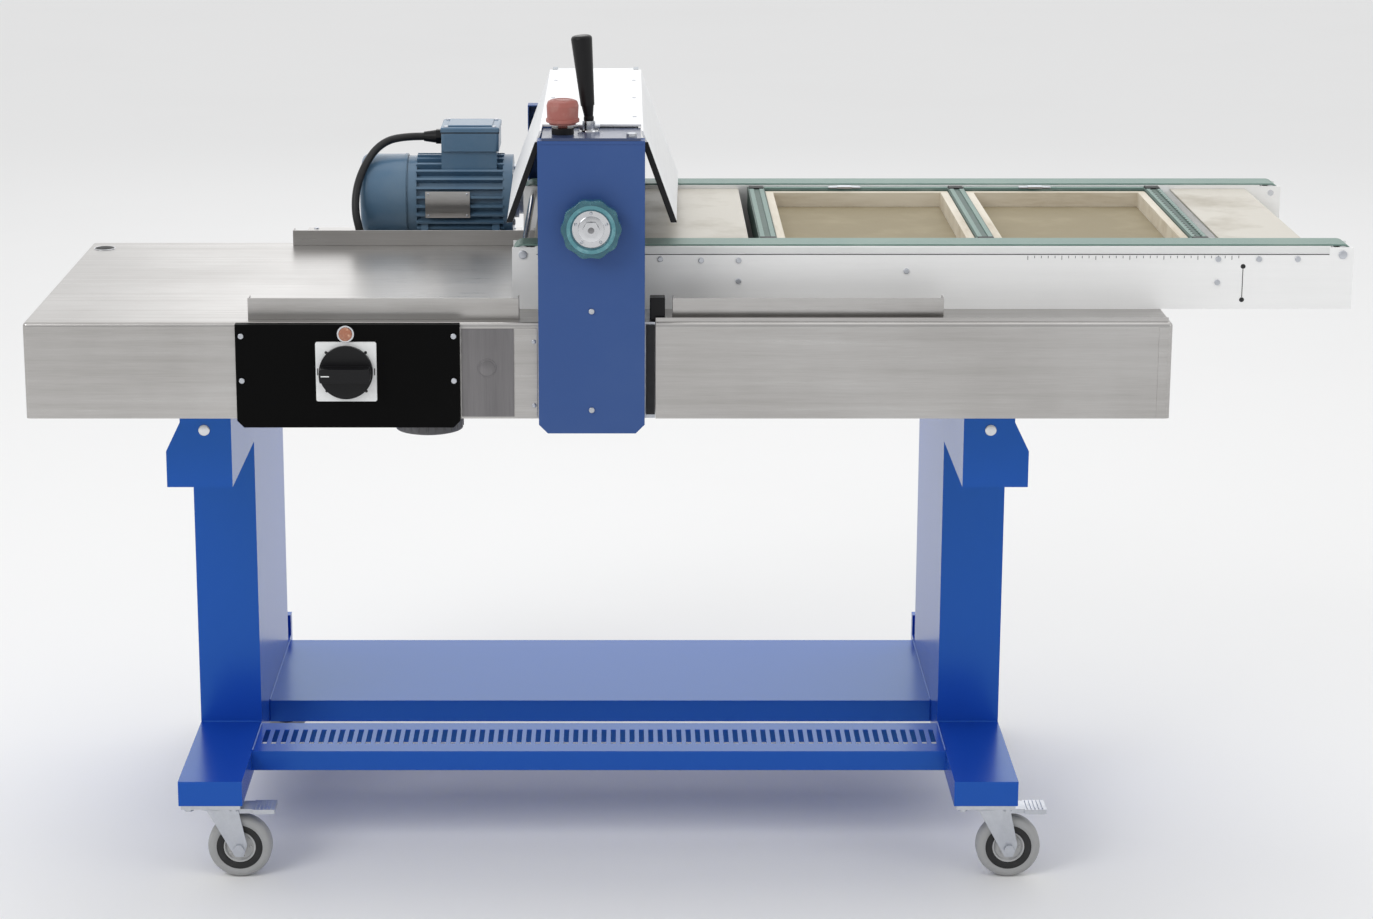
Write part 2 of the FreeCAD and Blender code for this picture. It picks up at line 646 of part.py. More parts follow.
def build_base(holes):
    pedestal_left = COVER_WIDTH / 2
    left = rounded_cover(-BASE_LEFT, -pedestal_left, TABLE_DEPTH, -BASE_LEFT)
    right_start = COVER_WIDTH / 2 + RECESS
    right = rounded_cover(right_start, BASE_RIGHT, RIGHT_DEPTH, BASE_RIGHT)
    lip = box(right_start, BASE_RIGHT - CORNER_R, CORNER_R, CORNER_R + SHEET,
              TABLE_Z - SHEET / 2, TABLE_Z + RIGHT_LIP)
    gap = SHEET + 2 * CLEAR
    pans = []
    spans = ((-BASE_LEFT, -pedestal_left, TABLE_DEPTH), (right_start, BASE_RIGHT, RIGHT_DEPTH))
    for x0, x1, depth in spans:
        pans.append(box(x0 + CORNER_R, x1 - gap, CORNER_R, depth - CORNER_R,
                        STAND_HEIGHT, STAND_HEIGHT + PAN_THICK))
    pedestal = box(-pedestal_left + CLEAR, PEDESTAL_RIGHT, 2 * SHEET, CHEEK_BACK, STAND_HEIGHT, TABLE_Z)
    pedestal = pedestal.cut(box(-pedestal_left + CLEAR + 2 * PAN_THICK, PEDESTAL_RIGHT - 2 * PAN_THICK,
                                2 * SHEET + 2 * PAN_THICK, CHEEK_BACK - 2 * PAN_THICK,
                                STAND_HEIGHT + PAN_THICK, TABLE_Z - 2 * PAN_THICK))
    ties = []
    for y0 in (TABLE_DEPTH / 4, TABLE_DEPTH * 3 / 4):
        ties.append(box(-pedestal_left - gap - 1, -pedestal_left + CLEAR + 1, y0, y0 + TABLE_DEPTH / 8,
                        STAND_HEIGHT, STAND_HEIGHT + PAN_THICK))
        ties.append(box(PEDESTAL_RIGHT - 1, right_start + CORNER_R + 1, y0, y0 + TABLE_DEPTH / 8,
                        STAND_HEIGHT, STAND_HEIGHT + PAN_THICK))
    write("base_chassis", fused(pedestal, *pans, *ties))
    write("base_cover_left", cut(left, *ties, *holes))
    write("base_cover_right", cut(fused(right, lip), *ties, *holes))

    x0, x1 = -PANEL_LEFT, PANEL_LENGTH - PANEL_LEFT
    low = STAND_HEIGHT - PANEL_DROP
    top = low + PANEL_HEIGHT
    panel = box(x0, x1, -PANEL_THICK, 0, low, top)
    corners = [e for e in panel.Edges
               if e.CenterOfMass.z < low + 1 and abs(e.CenterOfMass.y + PANEL_THICK / 2) < 0.1]
    panel = panel.makeChamfer(PANEL_CORNER, corners)
    panel = panel.cut(box(x0 + SHEET, x1 - SHEET, SHEET - PANEL_THICK, 1, low + PANEL_CORNER, top - SHEET))
    switch_front = V(SWITCH_X, -PANEL_THICK - SWITCH_PLATE_THICK - 1, SWITCH_Z)
    knob_hole = rod(KNOB_SHAFT_R + CLEAR, switch_front, Y_AXIS, 40)
    lamp_hole = rod(LAMP_R - 3 + RUNNING, V(SWITCH_X, -PANEL_THICK - 1, LAMP_Z), Y_AXIS, 10)
    write("electrics_panel", cut(panel, knob_hole, lamp_hole, *holes))

    half = SWITCH_PLATE / 2
    plate_front = -PANEL_THICK - SWITCH_PLATE_THICK
    plate = box(SWITCH_X - half, SWITCH_X + half, plate_front, -PANEL_THICK, SWITCH_Z - half,
                SWITCH_Z + half)
    middle = (plate_front - PANEL_THICK) / 2
    uprights = [e for e in plate.Edges if abs(e.CenterOfMass.y - middle) < 0.1]
    write("main_switch_plate", plate.makeFillet(SWITCH_PLATE_THICK, uprights).cut(knob_hole))
    knob_back = plate_front - CLEAR
    disc = rod(KNOB_R, V(SWITCH_X, knob_back - KNOB_THICK, SWITCH_Z), Y_AXIS, KNOB_THICK)
    grip = box(SWITCH_X - KNOB_R + 2, SWITCH_X + KNOB_R - 2, knob_back - KNOB_THICK - KNOB_GRIP_HEIGHT,
               knob_back - KNOB_THICK, SWITCH_Z - KNOB_GRIP_WIDTH / 2, SWITCH_Z + KNOB_GRIP_WIDTH / 2)
    grip = grip.common(rod(KNOB_R - 2, V(SWITCH_X, knob_back - 60, SWITCH_Z), Y_AXIS, 60))
    shaft = rod(KNOB_SHAFT_R, V(SWITCH_X, knob_back - 1, SWITCH_Z), Y_AXIS, PANEL_THICK - 1)
    write("main_switch_knob", fused(disc, grip, shaft))
    bezel = rod(LAMP_R, V(SWITCH_X, -PANEL_THICK - 3, LAMP_Z), Y_AXIS, 3)
    dome = rod(LAMP_R - 2, V(SWITCH_X, -PANEL_THICK - LAMP_RISE, LAMP_Z), Y_AXIS, LAMP_RISE - 2)
    stem = rod(LAMP_R - 3, V(SWITCH_X, -PANEL_THICK - 1, LAMP_Z), Y_AXIS, 7)
    write("indicator_lamp", fused(bezel, dome, stem))

    write("fences", fence(LEFT_FENCE_X, FENCE_FRONT, FENCE_HEIGHT),
          fence(RIGHT_FENCE_X, FENCE_FRONT, FENCE_HEIGHT),
          fence(REAR_FENCE_X, TABLE_DEPTH - CORNER_R - FENCE_FOOT, REAR_FENCE_HEIGHT))

    deck = box(-DECK_LEFT, -DECK_RIGHT, TABLE_DEPTH, TABLE_DEPTH + DECK_DEPTH, DECK_Z - DECK_SKIRT, DECK_Z)
    wall = 2 * SHEET
    deck = deck.cut(box(-DECK_LEFT + wall, -DECK_RIGHT - wall, TABLE_DEPTH + wall,
                        TABLE_DEPTH + DECK_DEPTH - wall, DECK_Z - DECK_SKIRT - 1, DECK_Z - wall))
    write("motor_deck", cut(deck, rod(CABLE_R, CABLE_POINTS[-1] - Z_AXIS * wall, Z_AXIS, wall + 1)))

    low = STAND_HEIGHT - FAN_DROP
    body = ring(FAN_R, FAN_R - 4, V(FAN_X, FAN_Y, low), Z_AXIS, FAN_DROP)
    core = rod(FAN_R / 2.5, V(FAN_X, FAN_Y, low + 4), Z_AXIS, FAN_DROP - 4)
    spokes = [box(FAN_X - FAN_R + 2, FAN_X + FAN_R - 2, FAN_Y - 3, FAN_Y + 3, low + 4, low + 10),
              box(FAN_X - 3, FAN_X + 3, FAN_Y - FAN_R + 2, FAN_Y + FAN_R - 2, low + 4, low + 10)]
    write("cooling_fan", fused(body, core, *spokes))


# ---------------------------------------------------------------- head
def build_head(holes):
    cheek_half = CHEEK_WIDTH / 2
    lower = V(0, CHEEK_FRONT - 1, LOWER_Z)
    window = box(-SLIDE_BLOCK / 2 - SLIDING, SLIDE_BLOCK / 2 + SLIDING, CHEEK_FRONT - 1, CHEEK_BACK + 1,
                 UPPER_Z - SLIDE_BLOCK / 2 - SLIDING, UPPER_Z + SLIDE_BLOCK / 2 + LIFT + SLIDING)
    bore = rod(JOURNAL_R + RUNNING, lower, Y_AXIS, CHEEK_BACK - CHEEK_FRONT + 2)
    front = box(-cheek_half, cheek_half, CHEEK_FRONT, CHEEK_FRONT + CHEEK_THICK, TABLE_Z, CHEEK_TOP)
    rear = box(-cheek_half, cheek_half, CHEEK_REAR, CHEEK_BACK, TABLE_Z, CHEEK_TOP)
    wing = box(OUTPUT_X - GEARBOX_R + 5, -cheek_half + 1, CHEEK_REAR, CHEEK_BACK, TABLE_Z,
               MOTOR_Z + WORM_HOUSING_R)
    foot = box(-cheek_half, cheek_half, CHEEK_FRONT, CHEEK_FRONT + 3.5 * CHEEK_THICK, TABLE_Z, TABLE_Z + 8)
    ties = []
    for x in (-TIE_SPACING / 2, TIE_SPACING / 2):
        tie_start = V(x, CHEEK_FRONT + 1, CHEEK_TOP - TIE_DROP)
        ties.append(rod(TIE_R, tie_start, Y_AXIS, CHEEK_BACK - CHEEK_FRONT - 2))
    hinge_z = HOOD_TOP - HINGE_R
    ears = []
    for x in (-cheek_half, cheek_half - HINGE_EAR):
        ears.append(box(x, x + HINGE_EAR, HINGE_Y - HINGE_R, CHEEK_BACK, CHEEK_TOP - 10, hinge_z + HINGE_R))
    pin = rod(HINGE_PIN_R - RUNNING, V(-cheek_half, HINGE_Y, hinge_z), X_AXIS, CHEEK_WIDTH)
    frame = fused(front, rear, wing, foot, *ties, *ears, pin)
    write("head_frame", cut(frame, window, bore))

    block_low = UPPER_Z - SLIDE_BLOCK / 2
    slides = []
    for y in (CHEEK_FRONT, CHEEK_REAR):
        block = box(-SLIDE_BLOCK / 2, SLIDE_BLOCK / 2, y, y + CHEEK_THICK, block_low,
                    block_low + SLIDE_BLOCK)
        slides.append(block.cut(rod(JOURNAL_R + RUNNING, V(0, y - 1, UPPER_Z), Y_AXIS, CHEEK_THICK + 2)))
    write("bearing_slides", *slides)

    gear_back = GEAR_FRONT + GEAR_WIDTH
    for name, z, y0, y1 in (
            ("upper_roller", UPPER_Z, BED_FRONT, CHEEK_REAR - GEAR_GAP),
            ("lower_roller", LOWER_Z, RAIL_INNER_FRONT + GEAR_GAP, REAR_RAIL_FRONT - GEAR_GAP)):
        skin = ring(ROLLER_R, ROLLER_R - ROLLER_WALL, V(0, y0, z), Y_AXIS, y1 - y0)
        ends = [rod(ROLLER_R - ROLLER_WALL + 1, V(0, y, z), Y_AXIS, 12) for y in (y0, y1 - 12)]
        shaft = rod(JOURNAL_R, V(0, CHEEK_FRONT, z), Y_AXIS, gear_back - CHEEK_FRONT)
        write(name, fused(skin, *ends, shaft))

    up = math.pi / 2
    pitch = 2 * math.pi / ROLLER_TEETH
    for name, z, phase in (("lower_gear", LOWER_Z, up), ("upper_gear", UPPER_Z, pitch / 2 - up)):
        wheel = gear(ROLLER_TEETH, MODULE, BACKLASH, phase, (0, z), GEAR_FRONT, GEAR_WIDTH)
        write(name, wheel.cut(rod(JOURNAL_R, V(0, GEAR_FRONT - 1, z), Y_AXIS, GEAR_WIDTH + 2)))

    half = COVER_WIDTH / 2
    low = STAND_HEIGHT - COVER_DROP
    outline = [V(-half + COVER_CORNER, COVER_FRONT, low), V(half - COVER_CORNER, COVER_FRONT, low),
               V(half, COVER_FRONT, low + COVER_CORNER), V(half, COVER_FRONT, COVER_TOP),
               V(-half, COVER_FRONT, COVER_TOP), V(-half, COVER_FRONT, low + COVER_CORNER)]
    cover = prism(outline, Y_AXIS * COVER_DEPTH)
    inner_half = half - COVER_SHEET
    corner = COVER_CORNER + COVER_SHEET * (1 - math.tan(math.pi / 8)) - COVER_SHEET
    inner_low = low + COVER_SHEET
    y0 = COVER_FRONT + COVER_SHEET
    outline = [V(-inner_half + corner, y0, inner_low), V(inner_half - corner, y0, inner_low),
               V(inner_half, y0, inner_low + corner), V(inner_half, y0, COVER_TOP - COVER_SHEET),
               V(-inner_half, y0, COVER_TOP - COVER_SHEET), V(-inner_half, y0, inner_low + corner)]
    cover = cover.cut(prism(outline, Y_AXIS * COVER_DEPTH))
    spindle_hole = rod(SPINDLE_R + CLEAR, V(0, COVER_FRONT - 1, UPPER_Z), Y_AXIS, COVER_SHEET + 2)
    write("head_cover", cut(cover, spindle_hole, hex_hole(TOP_BOLT, Z_AXIS), *holes))

    half = TOP_PLATE_WIDTH / 2
    plate = box(-half, half, COVER_FRONT, COVER_FRONT + TOP_PLATE_DEPTH, COVER_TOP, TOP_PLATE_Z)
    stem = rod(STOP_STEM_R + CLEAR, V(STOP_X, STOP_Y, COVER_TOP - 1), Z_AXIS, 10)
    write("top_plate", cut(plate, stem, hex_hole(TOP_BOLT, Z_AXIS)))
    write("guard_hood", guard_hood(hinge_z))
    build_controls()


def guard_hood(hinge_z):
    """Flat top with two leaning wings, hinged along its rear edge."""
    half = HOOD_WIDTH / 2
    length = HOOD_REAR - HOOD_FRONT
    run = HOOD_LEAN * HOOD_REAR_DROP
    low = HOOD_TOP - HOOD_REAR_DROP
    outline = [V(-half - run, HOOD_FRONT, low), V(-half, HOOD_FRONT, HOOD_TOP),
               V(half, HOOD_FRONT, HOOD_TOP), V(half + run, HOOD_FRONT, low)]
    thick = HOOD_SHEET * math.hypot(1, HOOD_LEAN)
    top = HOOD_TOP - HOOD_SHEET
    shoulder = half - thick + HOOD_LEAN * HOOD_SHEET
    inner_run = HOOD_LEAN * (HOOD_REAR_DROP - HOOD_SHEET)
    outline += [V(shoulder + inner_run, HOOD_FRONT, low), V(shoulder, HOOD_FRONT, top),
                V(-shoulder, HOOD_FRONT, top), V(-shoulder - inner_run, HOOD_FRONT, low)]
    hood = prism(outline, Y_AXIS * length)
    notch_half = TOP_PLATE_WIDTH / 2 + 1
    notch = box(-notch_half, notch_half, HOOD_FRONT - 1, COVER_FRONT + TOP_PLATE_DEPTH + 4 * CLEAR,
                top - 20, HOOD_TOP + 1)
    reach = half + run + 10
    slant = [V(-reach, HOOD_FRONT - 1, low - 10), V(-reach, HOOD_REAR + 1, low - 10),
             V(-reach, HOOD_REAR + 1, low), V(-reach, HOOD_FRONT - 1, HOOD_TOP - HOOD_FRONT_DROP)]
    tail = box(-half + 12, half - 12, HOOD_REAR - 1, HINGE_Y, top, HOOD_TOP)
    barrel_half = CHEEK_WIDTH / 2 - HINGE_EAR - CLEAR
    barrel = rod(HINGE_R, V(-barrel_half, HINGE_Y, hinge_z), X_AXIS, 2 * barrel_half)
    bore = rod(HINGE_PIN_R, V(-barrel_half - 1, HINGE_Y, hinge_z), X_AXIS, 2 * barrel_half + 2)
    hood = cut(hood, notch, prism(slant, X_AXIS * (2 * reach)))
    ears = []
    for x in (-half, half - 14):
        ears.append(box(x, x + 14, HINGE_Y - 2 * HINGE_R, CHEEK_BACK, 0, HOOD_TOP))
    tail = tail.cut(ears[0]).cut(ears[1])
    return cut(fused(hood, tail, barrel), bore)


def build_controls():
    """Lever, emergency stop and handwheel."""
    foot = V(LEVER_X, LEVER_Y, TOP_PLATE_Z)
    pivot = foot + Z_AXIS * (LEVER_BASE_HEIGHT + LEVER_BALL_RISE)
    base = rod(LEVER_BASE_R, foot, Z_AXIS, LEVER_BASE_HEIGHT)
    write("lever_base", base.cut(Part.makeSphere(LEVER_BALL_R + CLEAR, pivot)))
    ball = Part.makeSphere(LEVER_BALL_R, pivot)
    socket = Part.makeCone(LEVER_BALL_R - 1, LEVER_GRIP_R - 1, LEVER_SOCKET, pivot + Z_AXIS * 3, Z_AXIS)
    grip_foot = pivot + Z_AXIS * (3 + LEVER_SOCKET)
    grip = Part.makeCone(LEVER_GRIP_R, LEVER_TOP_R, LEVER_GRIP, grip_foot, Z_AXIS)
    rims = [e for e in grip.Edges if e.Closed and e.CenterOfMass.z > grip_foot.z + LEVER_GRIP - 1]
    grip = grip.makeFillet(LEVER_TOP_R / 3, rims)
    lean = [fused(ball, socket), grip]
    for piece in lean:
        piece.rotate(pivot, Y_AXIS, -LEVER_LEAN)
    write("feed_lever", *lean)

    foot = V(STOP_X, STOP_Y, TOP_PLATE_Z)
    collar = ring(STOP_COLLAR_R, STOP_STEM_R + CLEAR, foot, Z_AXIS, STOP_COLLAR_HEIGHT)
    write("emergency_stop_collar", collar)
    low = STOP_COLLAR_HEIGHT + STOP_GAP
    high = low + STOP_HEAD_HEIGHT
    profile = [(0, -TOP_PLATE_THICK), (STOP_STEM_R, -TOP_PLATE_THICK), (STOP_STEM_R, low),
               (STOP_HEAD_R - 4, low), (STOP_HEAD_R - 1, low + 5), (STOP_HEAD_R, high - 8),
               (STOP_HEAD_R - 2, high - 2), (STOP_HEAD_R - 6, high), (0, high)]
    write("emergency_stop_button", revolved(profile, foot))

    points = []
    steps = 8 * HANDWHEEL_LOBES
    for k in range(steps):
        angle = 2 * math.pi * k / steps
        radius = HANDWHEEL_R - HANDWHEEL_LOBE_DEPTH * (1 - math.cos(HANDWHEEL_LOBES * angle)) / 2
        points.append(V(radius * math.cos(angle), WHEEL_RING_FRONT, UPPER_Z + radius * math.sin(angle)))
    rim = prism(points, Y_AXIS * HANDWHEEL_THICK)
    centre = V(0, WHEEL_RING_FRONT - 1, UPPER_Z)
    write("handwheel_rim", rim.cut(rod(HANDWHEEL_BORE_R, centre, Y_AXIS, HANDWHEEL_THICK + 2)))
    disc = rod(HANDWHEEL_BORE_R, V(0, RIM_MIDDLE - HUB_THICK / 2, UPPER_Z), Y_AXIS, HUB_THICK)
    nut = hexagon(NUT_ACROSS, V(0, NUT_FRONT, UPPER_Z), Y_AXIS, NUT_THICK)
    spindle = rod(SPINDLE_R, V(0, RIM_MIDDLE, UPPER_Z), Y_AXIS, CHEEK_FRONT - RIM_MIDDLE - 1)
    write("handwheel_hub", fused(disc, nut, spindle))


# ---------------------------------------------------------------- drive
def build_drive():
    output = (OUTPUT_X, OUTPUT_Z)
    guard = box(-GUARD_LEFT, GUARD_RIGHT, CHEEK_BACK, GUARD_BACK, GUARD_BOTTOM, GUARD_TOP)
    inner = box(GUARD_SHEET - GUARD_LEFT, GUARD_RIGHT - GUARD_SHEET, CHEEK_BACK - 1,
                GUARD_BACK - GUARD_SHEET, GUARD_BOTTOM + GUARD_SHEET, GUARD_TOP - GUARD_SHEET)
    exit_hole = rod(PINION_SHAFT_R + CLEAR, V(OUTPUT_X, GUARD_BACK - 10, OUTPUT_Z), Y_AXIS, 20)
    write("gear_guard", cut(guard, inner, exit_hole))

    back = GUARD_BACK + GEARBOX_WIDTH
    wheel_case = rod(GEARBOX_R, V(OUTPUT_X, GUARD_BACK, OUTPUT_Z), Y_AXIS, GEARBOX_WIDTH)
    worm_left = -MOTOR_RIGHT + 2
    worm_case = rod(WORM_HOUSING_R, V(worm_left, MOTOR_Y, MOTOR_Z), X_AXIS, -GEARBOX_RIGHT - worm_left)
    flange = rod(GEARBOX_WIDTH / 2 - 1, V(worm_left - 1, MOTOR_Y, MOTOR_Z), X_AXIS, 8)
    case = fused(wheel_case, worm_case, flange)
    room_r = WORM_TEETH * WORM_MODULE / 2 + 2 * WORM_MODULE
    wheel_room = rod(room_r, V(OUTPUT_X, GUARD_BACK + 12, OUTPUT_Z), Y_AXIS, GEARBOX_WIDTH - 24)
    worm_room = rod(WORM_R + 4, V(worm_left - 5, MOTOR_Y, MOTOR_Z), X_AXIS, -GEARBOX_RIGHT - worm_left - 3)
    bore = rod(PINION_SHAFT_R + RUNNING, V(OUTPUT_X, GUARD_BACK - 1, OUTPUT_Z), Y_AXIS, GEARBOX_WIDTH - 11)
    write("gearbox_housing", cut(case, wheel_room, worm_room, bore))

    tooth = 2 * math.pi / ROLLER_TEETH
    toward = math.atan2(OUTPUT_Z - LOWER_Z, OUTPUT_X)
    offset = (math.pi / 2 - toward) % tooth
    phase = toward + math.pi - offset * ROLLER_TEETH / PINION_TEETH + math.pi / PINION_TEETH
    pinion = gear(PINION_TEETH, MODULE, BACKLASH, phase, output, GEAR_FRONT, GEAR_WIDTH)
    shaft_end = back - 14
    shaft = rod(PINION_SHAFT_R, V(OUTPUT_X, GEAR_FRONT - 1, OUTPUT_Z), Y_AXIS, shaft_end - GEAR_FRONT + 1)
    wheel = gear(WORM_TEETH, WORM_MODULE, WORM_MODULE / 4, 0, output, MOTOR_Y - 12, 24)
    wheel = wheel.cut(rod(PINION_SHAFT_R, V(OUTPUT_X, MOTOR_Y - 20, OUTPUT_Z), Y_AXIS, 40))
    write("pinion_shaft", fused(pinion, shaft), wheel)
    build_motor()


def motor_rod(radius, x0, x1):
    return rod(radius, V(x0, MOTOR_Y, MOTOR_Z), X_AXIS, x1 - x0)


def build_motor():
    left = -MOTOR_LEFT
    right = -MOTOR_RIGHT
    cowl_right = left + COWL_LENGTH
    bell = motor_rod(MOTOR_R - 2, right - END_BELL, right)
    back_bell = motor_rod(MOTOR_R - 4, cowl_right, cowl_right + END_BELL)
    outline = []
    half = FIN_THICK / 2 / MOTOR_R
    root = 1.4 * half
    fin = ((-root, MOTOR_CORE_R), (-half, MOTOR_R), (half, MOTOR_R), (root, MOTOR_CORE_R))
    start = V(cowl_right + END_BELL - 1, MOTOR_Y, MOTOR_Z)
    for k in range(FIN_COUNT):
        middle = 2 * math.pi * (k + 0.5) / FIN_COUNT
        for angle, radius in fin:
            a = middle + angle
            outline.append(start + V(0, radius * math.cos(a), radius * math.sin(a)))
    fins = prism(outline, X_AXIS * (right - cowl_right - 2 * END_BELL + 2))
    feet = []
    for x in (cowl_right + END_BELL, right - END_BELL - 24):
        feet.append(box(x, x + 24, MOTOR_Y - MOTOR_R, MOTOR_Y + MOTOR_R, DECK_Z, DECK_Z + 10))
        for side in (-1, 1):
            y = MOTOR_Y + side * (MOTOR_CORE_R - 12)
            feet.append(box(x + 6, x + 18, y - 8, y + 8, DECK_Z + 5, MOTOR_Z - 20))
    body = fused(fins, bell, back_bell, *feet)
    bore = motor_rod(MOTOR_BORE_R, cowl_right + END_BELL / 2, right - END_BELL / 2)
    shaft_bore = motor_rod(MOTOR_SHAFT_R + RUNNING, left, right + 2)
    write("motor_housing", cut(body, bore, shaft_bore, terminal_neck()))

    cowl = motor_rod(MOTOR_R - 1, left, cowl_right - CLEAR)
    rim = [e for e in cowl.Edges if e.Closed and e.CenterOfMass.x < left + 1]
    cowl = cowl.makeFillet(12, rim)
    cowl = cowl.cut(motor_rod(MOTOR_R - 1 - COWL_WALL, left + COWL_WALL + 6, cowl_right + 1))
    vents = []
    for k in range(12):
        vent = box(left - 1, left + 12, MOTOR_Y - 2.5, MOTOR_Y + 2.5, MOTOR_Z + 20, MOTOR_Z + 46)
        vent.rotate(V(left, MOTOR_Y, MOTOR_Z), X_AXIS, 30 * k)
        vents.append(vent)
    write("fan_cowl", cowl.cut(Part.makeCompound(vents)))

    shaft_left = left + 18
    shaft = motor_rod(MOTOR_SHAFT_R, shaft_left, right + 3)
    worm = motor_rod(WORM_R, right + 2, -GEARBOX_RIGHT - 8)
    core_left = cowl_right + END_BELL / 2 + 12
    core = motor_rod(ROTOR_R - CLEAR, core_left, core_left + ROTOR_LENGTH)
    fan = [motor_rod(22, shaft_left + 2, shaft_left + 22)]
    for k in range(8):
        blade = box(shaft_left + 4, shaft_left + 30, MOTOR_Y - 1.5, MOTOR_Y + 1.5, MOTOR_Z + 18,
                    MOTOR_Z + FAN_BLADE_R)
        blade.rotate(V(left, MOTOR_Y, MOTOR_Z), X_AXIS, 45 * k)
        fan.append(blade)
    fan = fused(*fan).cut(motor_rod(MOTOR_SHAFT_R, left, cowl_right))
    write("motor_rotor", fused(shaft, worm, core), fan)

    x0, x1 = -TERMINAL_LEFT, -TERMINAL_RIGHT
    half = TERMINAL_DEPTH / 2
    y0, y1 = MOTOR_Y - half, MOTOR_Y + half
    low, top = TERMINAL_NECK_TOP, TERMINAL_TOP
    room = box(x0 + 4, x1 - 4, y0 + 4, y1 - 4, low + 4, top + 1)
    body = box(x0, x1, y0, y1, low, top)
    uprights = [e for e in body.Edges if abs(e.CenterOfMass.z - (low + top) / 2) < 0.1]
    body = body.makeFillet(6, uprights)
    gland_bore = rod(GLAND_R - 3, V(x0 - 1, MOTOR_Y, GLAND_Z), X_AXIS, 8)
    write("terminal_box", cut(fused(body, terminal_neck()), room, gland_bore))
    lid = box(x0 - 1, x1 + 1, y0 - 1, y1 + 1, top, top + TERMINAL_LID)
    upper = [e for e in lid.Edges if e.CenterOfMass.z > top + 1]
    write("terminal_box_lid", lid.makeFillet(3, upper))
    seat = V(x0, MOTOR_Y, GLAND_Z)
    nut = hexagon(2 * GLAND_R - 1, seat, X_AXIS * -1, GLAND_LENGTH / 3)
    dome_foot = seat - X_AXIS * (GLAND_LENGTH / 3 - 1)
    dome = Part.makeCone(GLAND_R - 1, GLAND_R - 4, GLAND_LENGTH * 2 / 3, dome_foot, X_AXIS * -1)
    thread = rod(GLAND_R - 3, seat - X_AXIS, X_AXIS, 8)
    lead = rod(CABLE_R, seat - X_AXIS * (GLAND_LENGTH + 5), X_AXIS, GLAND_LENGTH + 20)
    write("cable_gland", cut(fused(nut, dome, thread), lead))
    write("motor_cable", cable())


def terminal_neck():
    """The raised seat under the terminal box, fitting the motor's round back."""
    half = TERMINAL_DEPTH / 2 - 6
    low = TERMINAL_NECK_TOP - TERMINAL_NECK - 20
    block = box(-TERMINAL_LEFT, -TERMINAL_RIGHT - 4, MOTOR_Y - half, MOTOR_Y + half, low, TERMINAL_NECK_TOP)
    return block.cut(motor_rod(MOTOR_CORE_R + 4, -MOTOR_LEFT, 0))


# The motor's supply lead, from the gland round the fan cowl and down through the deck.
GLAND_MOUTH = -TERMINAL_LEFT - GLAND_LENGTH + 1
CABLE_POINTS = [
    V(GLAND_MOUTH, MOTOR_Y, GLAND_Z),
    V(-330, MOTOR_Y - 4, GLAND_Z + 0.5),
    V(-362, MOTOR_Y - 22, GLAND_Z - 11),
    V(-383, MOTOR_Y - 50, GLAND_Z - 38),
    V(-396, MOTOR_Y - 76, GLAND_Z - 72),
    V(-398, MOTOR_Y - 92, DECK_Z + 61),
    V(-390, MOTOR_Y - 99, DECK_Z + 28),
    V(-384, MOTOR_Y - 100, DECK_Z),
]


def cable():
    """A tube along straight runs joined by tangent arcs."""
    points = CABLE_POINTS
    edges = []
    here = points[0]
    length = 0
    for before, corner, after in zip(points, points[1:], points[2:]):
        back = (before - corner).normalize()
        ahead = (after - corner).normalize()
        turn = math.pi - back.getAngle(ahead)
        shorter = min((corner - before).Length, (after - corner).Length)
        trim = 0.45 * shorter
        radius = trim / math.tan(turn / 2)
        start = corner + back * trim
        end = corner + ahead * trim
        bisector = (back + ahead).normalize()
        middle = corner + bisector * (radius / math.cos(turn / 2) - radius)
        edges.append(Part.makeLine(here, start))
        edges.append(Part.Arc(start, middle, end).toShape())
        length += (start - here).Length + radius * turn
        here = end
        print("cable arc radius %.0f at a turn of %.0f degrees" % (radius, math.degrees(turn)))
    edges.append(Part.makeLine(here, points[-1]))
    length += (points[-1] - here).Length
    path = Part.Wire(edges)
    along = (points[1] - points[0]).normalize()
    section = Part.Wire([Part.Circle(points[0], along, CABLE_R).toShape()])
    tube = path.makePipeShell([section], True, False)
    ratio = tube.Volume / (math.pi * CABLE_R ** 2 * length)
    print("cable length %.0f, volume over section times length %.4f" % (length, ratio))
    return Part.Solid(tube) if tube.ShapeType != "Solid" else tube


# ---------------------------------------------------------------- bed
def rail(y0):
    """A hollow rail, open over the belt's wrap at each end."""
    y1 = y0 + RAIL_WIDTH
    body = box(-BED_LEFT, BED_RIGHT, y0, y1, TABLE_Z, BED_Z)
    cavity = box(-BED_LEFT - 1, BED_RIGHT + 1, y0 + RAIL_WALL, y1 - RAIL_WALL, TABLE_Z + RAIL_WALL,
                 BED_Z - RAIL_TOP_WALL)
    cheek_top = PULLEY_Z + PULLEY_AXLE_R + RAIL_CHEEK_RISE
    tools = [cavity]
    for x0, x1 in ((-BED_LEFT - 1, -BED_LEFT + RAIL_END_CUT), (BED_RIGHT - RAIL_END_CUT, BED_RIGHT + 1)):
        tools.append(box(x0, x1, y0 - 1, y1 + 1, cheek_top, BED_Z + 1))
        tools.append(box(x0, x1, y0 + RAIL_WALL, y1 - RAIL_WALL, TABLE_Z + RAIL_WALL, BED_Z + 1))
    for x in (DRIVE_PULLEY_X, TAIL_PULLEY_X):
        tools.append(rod(PULLEY_AXLE_R + RUNNING, V(x, y0 - 1, PULLEY_Z), Y_AXIS, RAIL_WIDTH + 2))
    tools.append(rod(JOURNAL_R + 2, V(0, y0 - 1, LOWER_Z), Y_AXIS, RAIL_WIDTH + 2))
    return cut(body, *tools)


